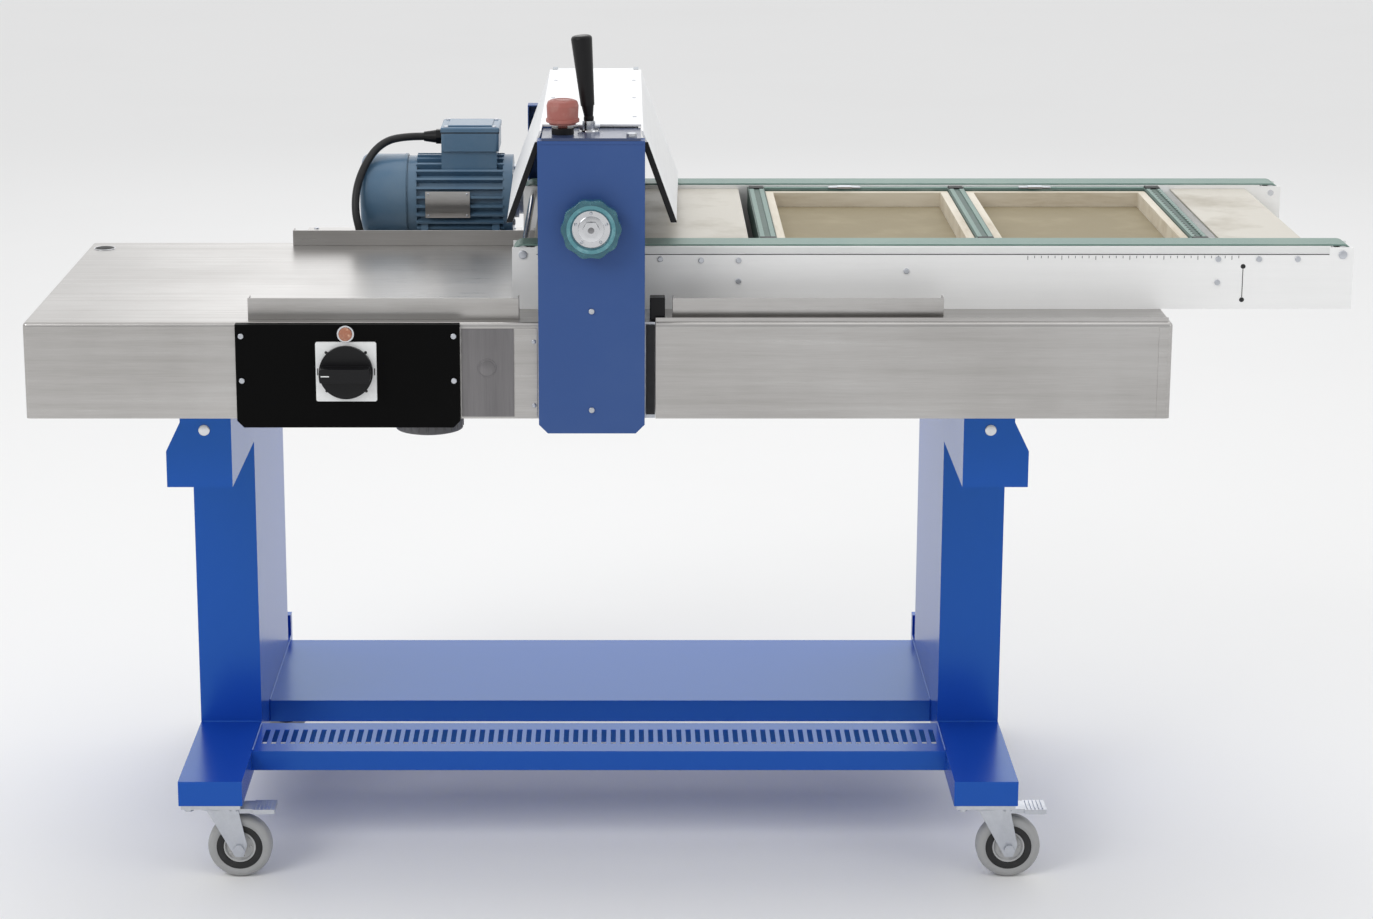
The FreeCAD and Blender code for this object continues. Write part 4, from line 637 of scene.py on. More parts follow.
class Piece:
    """One new piece: shapes gathered in a bmesh, in millimetres, and then finished."""

    BOX_FACES = ((0, 1, 3, 2), (4, 6, 7, 5), (0, 4, 5, 1), (2, 3, 7, 6), (0, 2, 6, 4),
                 (1, 5, 7, 3))
    BEVEL_FROM = 50.0

    def __init__(self, name: str, finish: Finish, slot: str, body: str = "machine") -> None:
        """Starts an empty piece.

        Args:
            name: the piece's name.
            finish: the finish that it is given.
            slot: the record's material slot that it goes with; kept on the piece but not used.
            body: the CAD body that it rides on.
        """
        self.name = name
        self.finish = finish
        self.slot = slot
        self.body = body
        self.mesh = bmesh.new()

    def block(self, low: Point, high: Point) -> "Piece":
        """Adds a box.

        Args:
            low: the lowest corner.
            high: the highest corner.

        Returns:
            The piece itself.
        """
        corners = [self.mesh.verts.new(at(x, y, z)) for x in (low[0], high[0])
                   for y in (low[1], high[1]) for z in (low[2], high[2])]
        for face in self.BOX_FACES:
            self.mesh.faces.new([corners[k] for k in face])
        return self

    def prism(self, outline: Sequence[Point], run: Point) -> "Piece":
        """Adds a closed outline pushed along a direction.

        Args:
            outline: the outline's corners in order.
            run: the push.

        Returns:
            The piece itself.
        """
        shift = Vector(run)
        first = [self.mesh.verts.new(at(*point)) for point in outline]
        last = [self.mesh.verts.new(at(*(Vector(point) + shift))) for point in outline]
        self.mesh.faces.new(first)
        self.mesh.faces.new(list(reversed(last)))
        for k in range(len(outline)):
            after = (k + 1) % len(outline)
            self.mesh.faces.new((first[k], first[after], last[after], last[k]))
        return self

    def turned(self, profile: Profile, centre: Point, axis: Axis = Axis.Z, steps: int = 40,
               closed: bool = False) -> "Piece":
        """Adds a turned shape.

        Args:
            profile: (radius, distance along the axis) pairs.
            centre: the point on the axis that distances start from.
            axis: the axis's direction.
            steps: the number of facets round the axis.
            closed: True for a ring whose profile closes on itself.

        Returns:
            The piece itself.
        """
        along = Vector(axis.value)
        side = Vector((0.0, 0.0, 1.0)) if axis is not Axis.Z else Vector((1.0, 0.0, 0.0))
        other = along.cross(side)
        rings = []
        for radius, height in profile:
            foot = Vector(centre) + along * height
            if radius < 1e-6:
                rings.append([self.mesh.verts.new(at(*foot))])
                continue
            ring = []
            for k in range(steps):
                angle = 2 * math.pi * k / steps
                spoke = side * math.cos(angle) + other * math.sin(angle)
                ring.append(self.mesh.verts.new(at(*(foot + spoke * radius))))
            rings.append(ring)
        pairs = list(zip(rings, rings[1:]))
        if closed:
            pairs.append((rings[-1], rings[0]))
        for first, last in pairs:
            self.join_rings(first, last, steps)
        if not closed:
            for ring in (rings[0], rings[-1]):
                if len(ring) > 1:
                    self.mesh.faces.new(ring)
        return self

    def join_rings(self, first: list, last: list, steps: int) -> None:
        """Closes the surface between two neighbouring rings, either of which may be a point.

        Args:
            first: the first ring's vertices.
            last: the next ring's vertices.
            steps: the number of facets round the axis.
        """
        for k in range(steps):
            after = (k + 1) % steps
            if len(first) == 1 and len(last) == 1:
                return
            if len(first) == 1:
                self.mesh.faces.new((first[0], last[after], last[k]))
            elif len(last) == 1:
                self.mesh.faces.new((first[k], first[after], last[0]))
            else:
                self.mesh.faces.new((first[k], first[after], last[after], last[k]))

    def disc(self, centre: Point, radius: float, height: float, axis: Axis = Axis.Z,
             round_edge: float = 0.0, steps: int = 32) -> "Piece":
        """Adds a disc or rod whose far edge may be rounded.

        Args:
            centre: the middle of its near face.
            radius: its radius.
            height: its length along the axis, negative to point the other way.
            axis: the axis's direction.
            round_edge: the radius of the rounded edge.
            steps: the number of facets round the axis.

        Returns:
            The piece itself.
        """
        profile = [(0.0, 0.0), (radius, 0.0)]
        for k in range(4):
            turn = math.pi / 2 * k / 3
            profile.append((radius - round_edge * (1 - math.cos(turn)),
                            height + math.copysign(round_edge, height) * (math.sin(turn) - 1)))
        profile.append((0.0, height))
        if round_edge <= 0:
            profile = [(0.0, 0.0), (radius, 0.0), (radius, height), (0.0, height)]
        return self.turned(profile, centre, axis, steps)

    def ring(self, centre: Point, outer: float, inner: float, height: float, axis: Axis = Axis.Z,
             steps: int = 48) -> "Piece":
        """Adds a flat ring with small chamfers on its far face.

        Args:
            centre: the middle of its near face.
            outer: its outer radius.
            inner: its inner radius.
            height: its length along the axis, negative to point the other way.
            axis: the axis's direction.
            steps: the number of facets round the axis.

        Returns:
            The piece itself.
        """
        chamfer = math.copysign(min(0.4, abs(height) / 3), height)
        cut = abs(chamfer)
        profile = [(inner, 0.0), (outer, 0.0), (outer, height - chamfer), (outer - cut, height),
                   (inner + cut, height), (inner, height - chamfer)]
        return self.turned(profile, centre, axis, steps, closed=True)

    def hexagon(self, centre: Point, across: float, height: float, axis: Axis) -> "Piece":
        """Adds a hexagonal head with a chamfered far face.

        Args:
            centre: the middle of its near face.
            across: its width across the flats.
            height: its length along the axis, negative to point the other way.
            axis: the axis's direction.

        Returns:
            The piece itself.
        """
        reach = across / math.sqrt(3)
        lift = math.copysign(reach * 0.12, height)
        profile = [(0.0, 0.0), (reach, 0.0), (reach, height - lift), (reach * 0.88, height),
                   (0.0, height)]
        return self.turned(profile, centre, axis, 6)

    def bead(self, start: Point, run: float, axis: Axis, radius: float = 2.6) -> "Piece":
        """Adds a weld bead: a thin rod with ripples along it.

        Args:
            start: the bead's start.
            run: its length.
            axis: the direction that it runs in.
            radius: its radius on the ripples.

        Returns:
            The piece itself.
        """
        ripple_length = 3.0
        count = max(8, int(abs(run) / ripple_length))
        profile = [(0.0, 0.0)]
        for k in range(count + 1):
            ripple = 0.82 + 0.18 * math.cos(math.pi * k)
            profile.append((radius * ripple, run * k / count))
        profile.append((0.0, run))
        return self.turned(profile, start, axis, 10)

    def screw_heads(self, centres: Sequence[Point], radius: float, height: float,
                    axis: Axis) -> "Piece":
        """Adds low domed screw heads.

        Args:
            centres: the middle of each head's near face.
            radius: the heads' radius.
            height: the heads' length along the axis, negative to point the other way.
            axis: the axis's direction.

        Returns:
            The piece itself.
        """
        for centre in centres:
            self.disc(centre, radius, height, axis, min(radius, abs(height)) * 0.7, 20)
        return self

    def done(self, edge: float = 0.0, smooth: float = 38.0) -> bpy.types.Object:
        """Turns the gathered shapes into an object that rides on its body.

        Args:
            edge: the width of the bevel on sharp edges, in millimetres.
            smooth: the angle in degrees up to which faces are shaded as one surface.

        Returns:
            The new object.
        """
        bmesh.ops.recalc_face_normals(self.mesh, faces=self.mesh.faces)
        data = bpy.data.meshes.new(self.name)
        self.mesh.to_mesh(data)
        self.mesh.free()
        data.materials.append(self.finish.material())
        data.shade_smooth()
        data.set_sharp_from_angle(angle=math.radians(smooth))
        piece = bpy.data.objects.new(self.name, data)
        bpy.context.scene.collection.objects.link(piece)
        if edge > 0:
            soften(piece, edge, self.BEVEL_FROM)
        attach(piece, self.body)
        log.info("piece %s on %s", self.name, self.body)
        return piece


def mirrored(half: Profile) -> Profile:
    """Half a wheel's profile joined to its mirror image on the axis's other side."""
    return [(r, -h) for r, h in half] + [(r, h) for r, h in reversed(half)]


def round_spots(count: int, radius: float, start: float = 0.0) -> list[tuple[float, float]]:
    """Evenly spaced places on a circle about its middle, from the start angle in radians."""
    angles = [start + 2 * math.pi * k / count for k in range(count)]
    return [(radius * math.cos(angle), radius * math.sin(angle)) for angle in angles]


def corners_in(low: Vector, high: Vector, inset: float, z: float) -> list[Point]:
    """The corners of a box seen from above, moved in by inset, at height z."""
    deep = (low.y + inset, high.y - inset)
    return [(x, y, z) for x in (low.x + inset, high.x - inset) for y in deep]


def soften(piece: bpy.types.Object, edge: float, limit: float) -> None:
    """Adds a bevel to a piece's sharp edges.

    Args:
        piece: the piece.
        edge: the bevel's width in millimetres.
        limit: the angle in degrees above which an edge is sharp.
    """
    bevel = piece.modifiers.new("edge", "BEVEL")
    bevel.width = edge * MM
    bevel.segments = 2
    bevel.limit_method = "ANGLE"
    bevel.angle_limit = math.radians(limit)
    bevel.harden_normals = True


WELD_DISTANCE = 0.00002
FLAT_WITHIN = 0.4
CAD_BEVEL_FROM = 40.0


def dress(finish: Finish, *nodes: str, edge: float = 0.0) -> None:
    """Gives CAD nodes a finish and, with edge above 0, softened edges.

    Args:
        finish: the finish.
        nodes: the CAD nodes' names.
        edge: the width of the bevel, in millimetres.
    """
    for name in nodes:
        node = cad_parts[name]
        node.data.materials.clear()
        node.data.materials.append(finish.material())
        if edge > 0:
            weld = node.modifiers.new("weld", "WELD")
            weld.merge_threshold = WELD_DISTANCE
            flat = node.modifiers.new("flat", "DECIMATE")
            flat.decimate_type = "DISSOLVE"
            flat.angle_limit = math.radians(FLAT_WITHIN)
            soften(node, edge, CAD_BEVEL_FROM)
        log.info("node %s dressed in %s", name, finish.name)


# ------------------------------------------------------------------ sub-assemblies
@dataclass
class Stand:
    """Two leg frames, the lower shelf, the slotted bar and their joints."""

    column_front: float = 411.0
    column_back: float = 812.0
    foot_top: float = 168.0
    beam_bottom: float = 641.0
    plug_height: float = 730.0
    plug_radius: float = 9.0
    plug_inset: float = 9.0

    def build(self) -> None:
        """Paints the weldments and adds weld beads and the beam plugs."""
        dress(STAND_PAINT, "leg_frame_left", "leg_frame_right", "lower_shelf", edge=1.2)
        dress(STAND_PAINT, "slotted_crossbar", edge=0.5)
        dress(ZINC, "hex_bolts")
        self.welds()
        self.plugs()

    def legs(self) -> list[tuple[float, float]]:
        """The X range of each leg."""
        boxes = [extents("leg_frame_" + side) for side in ("left", "right")]
        return [(low.x, high.x) for low, high in boxes]

    def welds(self) -> None:
        """Beads where the columns meet feet and beams, and where shelf and bar meet the legs."""
        beads = Piece("stand_welds", STAND_PAINT, "stand_blue")
        front, back = self.column_front, self.column_back
        for left, right in self.legs():
            for y, z in ((front, self.foot_top), (front, self.beam_bottom), (back, self.foot_top)):
                beads.bead((left + 2, y, z), right - left - 4, Axis.X)
        for node in ("lower_shelf", "slotted_crossbar"):
            low, high = extents(node)
            for x in (low.x, high.x):
                beads.bead((x, low.y + 2, high.z), high.y - low.y - 4, Axis.Y, 2.0)
        beads.done()

    def plugs(self) -> None:
        """A bright domed plug near the inner end of each beam's front face."""
        plugs = Piece("beam_plugs", POLISHED, "polished_steel")
        front = extents("leg_frame_left")[0].y
        for left, right in self.legs():
            middle = (left + right) / 2
            x = middle - math.copysign(self.plug_inset, middle)
            plugs.disc((x, front, self.plug_height), self.plug_radius, -2.4, Axis.Y, 2.0)
        plugs.done()


@dataclass
class Casters:
    """Four swivel casters, the front two with brake pedals."""

    core_radius: float = 25.0
    ring_radius: float = 36.0
    rivets: int = 5
    rivet_circle: float = 17.0
    plate_thickness: float = 6.0
    swivel_offset: float = 26.0
    places: tuple[str, ...] = ("front_left", "front_right", "rear_left", "rear_right")

    def build(self) -> None:
        """Dresses forks and pedals and turns detailed wheels in place of the plain ones."""
        dress(ZINC, "caster_plates", edge=0.6)
        for place in self.places:
            dress(ZINC, "caster_fork_" + place, edge=0.5)
            self.wheel(place)
            self.race(place)
        for side in ("left", "right"):
            dress(ZINC, "brake_pedal_" + side, edge=0.8)
            self.pedal_grip(side)

    def wheel(self, place: str) -> None:
        """Tyre, dark thread guard and hub core of one wheel.

        Args:
            place: the wheel's place on the stand.
        """
        node = "caster_wheel_" + place
        body = "wheel_" + place
        low, high = extents(node)
        middle = (low + high) / 2
        radius = (high.z - low.z) / 2
        half = (high.y - low.y) / 2
        rim, hub = self.ring_radius, self.core_radius
        shoulder = [(rim, half - 1.4), (rim + 3, half - 0.2), (radius - 5, half - 0.6),
                    (radius - 1.6, half - 3.6), (radius, half - 8.5)]
        tyre = Piece("tyre_" + place, TYRE_GREY, "castor_grey", body)
        tyre.turned(mirrored(shoulder), middle, Axis.Y, 64, closed=True)
        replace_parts(tyre.done(), node)
        lip = [(hub, half - 3.4), (hub + 1.2, half - 1.9), (rim - 2, half - 1.2), (rim, half - 2.2)]
        guard = Piece("thread_guard_" + place, RING_BLACK, "black_plastic", body)
        guard.turned(mirrored(lip), middle, Axis.Y, 56, closed=True).done()
        dish = [(6.4, half - 2.6), (11.5, half - 2.2), (12.5, half - 5.0), (hub - 4, half - 6.2),
                (hub - 2.2, half - 3.0), (hub, half - 3.0)]
        core = Piece("hub_" + place, HUB_GREY, "castor_grey", body)
        core.turned(mirrored(dish), middle, Axis.Y, 56, closed=True)
        for x, z in round_spots(self.rivets, self.rivet_circle):
            for side in (-1, 1):
                spot = (middle.x + x, middle.y + side * (half - 6.4), middle.z + z)
                core.disc(spot, 2.4, side * 2.6, Axis.Y, 1.0, 16)
        core.done()

    def race(self, place: str) -> None:
        """The pressed ball race under the top plate, turning with the fork.

        Args:
            place: the castor's place on the stand.
        """
        low, high = extents("caster_fork_" + place)
        plate = extents("caster_plates")[1].z - self.plate_thickness
        centre = (low.x + self.swivel_offset, (low.y + high.y) / 2, plate - 0.8)
        profile = [(24.0, 0.0), (31.0, 0.0), (32.5, -1.6), (31.5, -4.0), (27.0, -5.2),
                   (24.0, -5.2)]
        race = Piece("ball_race_" + place, ZINC, "zinc_steel", "swivel_" + place)
        race.turned(profile, centre, Axis.Z, 48, closed=True).done()

    def pedal_grip(self, side: str) -> None:
        """Ribs across the toe end of a brake pedal.

        Args:
            side: the pedal's side.
        """
        low, high = extents("brake_pedal_" + side)
        grip = Piece("pedal_grip_" + side, ZINC, "zinc_steel", "pedal_" + side)
        for k in range(5):
            x = high.x - 5.0 - 6.0 * k
            grip.block((x - 1.6, low.y + 3, high.z - 0.2), (x, high.y - 3, high.z + 1.2))
        grip.done(edge=0.4)


@dataclass
class Base:
    """Stainless covers, electrics panel, fences, motor deck and cooling fan."""

    panel_right: float = -191.0
    plate_right: float = -113.0
    strip_right: float = -78.0
    switch: tuple[float, float] = (-355.0, 858.0)
    lamp_height: float = 914.0
    plug: tuple[float, float] = (-796.0, 553.0)
    stop_block: tuple[float, float] = (84.0, 106.0)
    fan_centre: tuple[float, float] = (-245.0, 130.0)
    fan_ribs: int = 24
    fan_rib_circle: float = 49.6
    seal: tuple[float, float] = (78.5, 91.5)
    fence_screws: tuple[float, ...] = (-480.0, -303.0, -126.0, 137.0, 314.0, 491.0)
    dial_circle: float = 40.5
    tick_reach: float = 41.2

    def build(self) -> None:
        """Dresses the CAD sheet work and adds its plates, screws and marks."""
        dress(STAINLESS, "base_cover_left", "base_cover_right")
        dress(STAINLESS, "fences", "motor_deck", edge=0.5)
        dress(ZINC, "base_chassis", "pan_screws")
        dress(PANEL_BLACK, "electrics_panel", edge=0.5)
        dress(WHITE_PLASTIC, "main_switch_plate")
        dress(BLACK_PLASTIC, "main_switch_knob", edge=0.6)
        dress(LAMP_LENS, "indicator_lamp", edge=0.5)
        dress(FAN_GREY, "cooling_fan", edge=0.4)
        self.front_plates()
        self.table_details()
        self.switch_details()
        self.fan_guard()

    def front_plates(self) -> None:
        """The access plate with its round knock-out, and the strip beside the head cover."""
        top = extents("base_cover_left")[1].z
        bottom = extents("base_cover_left")[0].z
        plate = Piece("access_plate", STAINLESS_DARK, "stainless")
        plate.block((self.panel_right + 2, -1.2, bottom + 3), (self.plate_right, 0.2, top - 9))
        plate.done(edge=0.4)
        middle = ((self.panel_right + self.plate_right) / 2, -1.1, (top + bottom) / 2 + 4)
        knockout = Piece("access_plate_knockout", STAINLESS_DARK, "stainless")
        knockout.ring(middle, 14.0, 12.4, -0.6, Axis.Y).disc(middle, 11.2, -0.5, Axis.Y, 0.3).done()
        strip = Piece("cover_joint_strip", STAINLESS, "stainless")
        strip.block((self.plate_right + 1, -1.6, bottom + 2), (self.strip_right - 1, 0.2, top - 8))
        strip.done(edge=0.5)
        heads = [(self.strip_right - 6, -1.4, z) for z in (bottom + 20, top - 28)]
        Piece("joint_strip_screws", ZINC, "zinc_steel").screw_heads(heads, 3.4, -1.8, Axis.Y).done()
        seal_left, seal_right = self.seal
        seal = Piece("cover_gap_seal", MARK_AND_SHADE_BLACK, "black_plastic")
        seal.block((seal_left, -0.2, bottom + 6), (seal_right, 2.4, top - 4)).done(edge=0.4)
        end = extents("base_cover_right")[1].x
        hem = Piece("right_end_hem", STAINLESS, "stainless")
        hem.block((end - 20, -0.9, bottom + 1), (end - 7, 0.2, top - 7)).done(edge=0.4)

    def table_details(self) -> None:
        """The plug in the table's far corner, the fence screws and the fence's stop block."""
        top = extents("base_cover_left")[1].z
        spot = (*self.plug, top)
        dome = [(0.0, 0.0), (15.5, 0.0), (15.0, 1.2), (11.0, 2.2), (0.0, 2.4)]
        Piece("table_plug", MARK_AND_SHADE_BLACK, "black_plastic").turned(dome, spot, Axis.Z, 36).done()
        Piece("table_plug_rim", POLISHED, "polished_steel").ring(spot, 17.4, 15.6, 1.3).done()
        x0, x1 = self.stop_block
        block = Piece("fence_stop_block", BLACK_PLASTIC, "black_plastic")
        block.block((x0, 12, top + 1), (x1, 34, top + 34)).done(edge=1.4)
        heads = [(x, 37.0, top + 2) for x in self.fence_screws]
        Piece("fence_screws", ZINC, "zinc_steel").screw_heads(heads, 3.6, 1.9, Axis.Z).done()
        low, high = extents("motor_deck")
        heads = corners_in(low, high, 14, high.z)
        Piece("deck_screws", ZINC, "zinc_steel").screw_heads(heads, 4.2, 2.2, Axis.Z).done()

    def switch_details(self) -> None:
        """Marks on the plate under the knob, the knob's pointer and the lamp's bezel."""
        x, z = self.switch
        front = extents("main_switch_plate")[0].y
        dial = Piece("switch_marks", MARK_AND_SHADE_BLACK, "black_plastic")
        for across, up in round_spots(4, self.dial_circle, math.pi / 4):
            dial.disc((x + across, front + 0.05, z + up), 2.1, -0.5, Axis.Y, 0.2, 20)
        for tick in (x - self.tick_reach, x + self.tick_reach):
            dial.block((tick - 0.7, front - 0.3, z - 5), (tick + 0.7, front + 0.2, z + 5))
        dial.done()
        pointer = Piece("switch_pointer", WHITE_PLASTIC, "white_plastic", "switch_knob")
        low = extents("main_switch_knob")[0]
        pointer.block((x - 34, low.y - 0.3, z - 0.8), (x - 22, low.y + 0.3, z + 0.8)).done()
        lamp = (x, extents("electrics_panel")[0].y - 2.6, self.lamp_height)
        Piece("lamp_bezel", POLISHED, "polished_steel").ring(lamp, 12.4, 9.6, -1.8, Axis.Y).done()

    def fan_guard(self) -> None:
        """Ribs round the fan's housing and a wire guard under it."""
        x, y = self.fan_centre
        low, high = extents("cooling_fan")
        ribs = Piece("fan_ribs", FAN_GREY, "black_plastic")
        for dx, dy in round_spots(self.fan_ribs, self.fan_rib_circle):
            ribs.disc((x + dx, y + dy, low.z + 3), 1.7, high.z - low.z - 4, Axis.Z, 0.0, 10)
        ribs.done()
        wires = Piece("fan_guard_wires", ZINC, "zinc_steel")
        for radius in (14.0, 24.0, 34.0, 44.0):
            wires.ring((x, y, low.z), radius + 0.9, radius - 0.9, -1.6)
        wires.block((x - 46, y - 1, low.z - 1.4), (x + 46, y + 1, low.z - 0.2))
        wires.block((x - 1, y - 46, low.z - 1.4), (x + 1, y + 46, low.z - 0.2))
        wires.done()


@dataclass
class Head:
    """Head cover, hood, rollers, lever, stop button and handwheel."""

    hood_half: float = 74.0
    hood_lean: float = 0.36
    hood_front_drop: float = 133.0
    bar_width: float = 9.0
    bar_depth: float = 5.0
    bar_start: float = 16.0
    wheel_height: float = 1074.5
    wheel_screw_circle: float = 23.0

    def build(self) -> None:
        """Dresses the head's CAD nodes and adds its trim."""
        dress(HEAD_PAINT, "head_cover", "gear_guard", edge=1.0)
        dress(TOP_PAINT, "top_plate", edge=0.6)
        dress(HOOD_STEEL, "guard_hood", edge=0.5)
        dress(CAST_METAL, "head_frame", edge=0.8)
        dress(POLISHED, "upper_roller", "lower_roller", "lever_base", "handwheel_hub")
        dress(GEAR_STEEL, "upper_gear", "lower_gear", "bearing_slides")
        dress(BLACK_PLASTIC, "feed_lever", "emergency_stop_collar")
        dress(STOP_RED, "emergency_stop_button")
        dress(WHEEL_TEAL, "handwheel_rim", edge=1.4)
        self.hood_edges()
        self.cover_details()
        self.wheel_details()
        self.control_details()

    def hood_edges(self) -> None:
        """A dark bar down the front of each wing, and rivets along the hood's top."""
        low, high = extents("guard_hood")
        for side, name in ((1, "hood_edge_right"), (-1, "hood_edge_left")):
            start, end = self.bar_start, self.hood_front_drop
            outer = [side * (self.hood_half + self.hood_lean * drop + 1.0) for drop in (start, end)]
            inner = [x - side * self.bar_width for x in outer]
            y, upper, lower = low.y - 0.6, high.z - start, high.z - end
            outline = [(outer[0], y, upper), (outer[1], y, lower), (inner[1], y, lower),
                       (inner[0], y, upper)]
            bar = Piece(name, BLACK_PLASTIC, "black_plastic", "hood")
            bar.prism(outline, (0, self.bar_depth, 0)).done(edge=0.8)
        rivets = Piece("hood_rivets", ZINC, "zinc_steel", "hood")
        heads = [(x, y, high.z) for x in (-62.0, 62.0) for y in (140.0, 330.0, 520.0)]
        rivets.screw_heads(heads, 3.0, 1.0, Axis.Z).done()

    def cover_details(self) -> None:
        """The bearing ring behind the handwheel and the folded lip along the cover's top."""
        low, high = extents("head_cover")
        front = low.y
        boss = [(8.0, 0.0), (24.0, 0.0), (23.0, -2.2), (16.0, -3.6), (8.0, -3.6)]
        Piece("spindle_boss", HEAD_PAINT, "head_blue").turned(
            boss, (0.0, front + 0.2, self.wheel_height), Axis.Y, 44, closed=True).done()
        lip = Piece("cover_top_lip", HEAD_PAINT, "head_blue")
        lip.block((low.x + 3, front - 0.8, high.z - 5), (high.x - 3, front + 0.3, high.z - 0.4))
        lip.done(edge=0.5)

    def wheel_details(self) -> None:
        """Pale insert ring, washer, screws and stud of the handwheel."""
        low, high = extents("handwheel_rim")
        hub = extents("handwheel_hub")[0]
        z = self.wheel_height
        Piece("handwheel_insert", INSERT_TEAL, "wheel_teal", "handwheel").ring(
            (0.0, low.y + 0.4, z), 35.0, 29.5, -1.3, Axis.Y).done()
        face = (low.y + high.y) / 2 - 3.4
        washer = [(11.5, 0.0), (19.0, 0.0), (18.2, -2.0), (12.5, -2.6), (11.5, -2.6)]
        Piece("handwheel_washer", POLISHED, "polished_steel", "handwheel").turned(
            washer, (0.0, face, z), Axis.Y, 44, closed=True).done()
        circle = round_spots(5, self.wheel_screw_circle, math.pi / 2)
        spots = [(across, face, z + up) for across, up in circle]
        screws = Piece("handwheel_screws", ZINC, "zinc_steel", "handwheel")
        screws.screw_heads(spots, 2.3, -1.6, Axis.Y).done()
        Piece("handwheel_stud", GEAR_STEEL, "gear_steel", "handwheel").disc(
            (0.0, hub.y + 0.3, z), 4.6, -0.9, Axis.Y, 0.6, 28).done()

    def control_details(self) -> None:
        """Cross pin and flange of the lever's base, and the stop button's rings."""
        low, high = extents("lever_base")
        x, y = (low.x + high.x) / 2, (low.y + high.y) / 2
        pin = [(0.0, -16.0), (2.8, -16.0), (3.4, -15.0), (3.4, 15.0), (2.8, 16.0), (0.0, 16.0)]
        Piece("lever_cross_pin", ZINC, "zinc_steel").turned(
            pin, (x, y, low.z + 6.0), Axis.X, 20).done()
        flange = [(9.6, 0.0), (15.0, 0.0), (14.4, 2.2), (11.0, 3.0), (9.6, 3.0)]
        Piece("lever_base_flange", POLISHED, "polished_steel").turned(
            flange, (x, y, low.z), Axis.Z, 36, closed=True).done()
        low, high = extents("emergency_stop_button")
        x, y = (low.x + high.x) / 2, (low.y + high.y) / 2
        grip = [(22.4, 0.0), (23.9, 0.6), (24.0, 5.0), (22.4, 5.6)]
        Piece("stop_grip_ring", STOP_RED, "stop_red", "stop_button").turned(
            grip, (x, y, low.z + 21.0), Axis.Z, 48, closed=True).done()
        face = Piece("stop_face", STOP_RED, "stop_red", "stop_button")
        face.ring((x, y, high.z), 14.0, 11.6, 0.6).done()


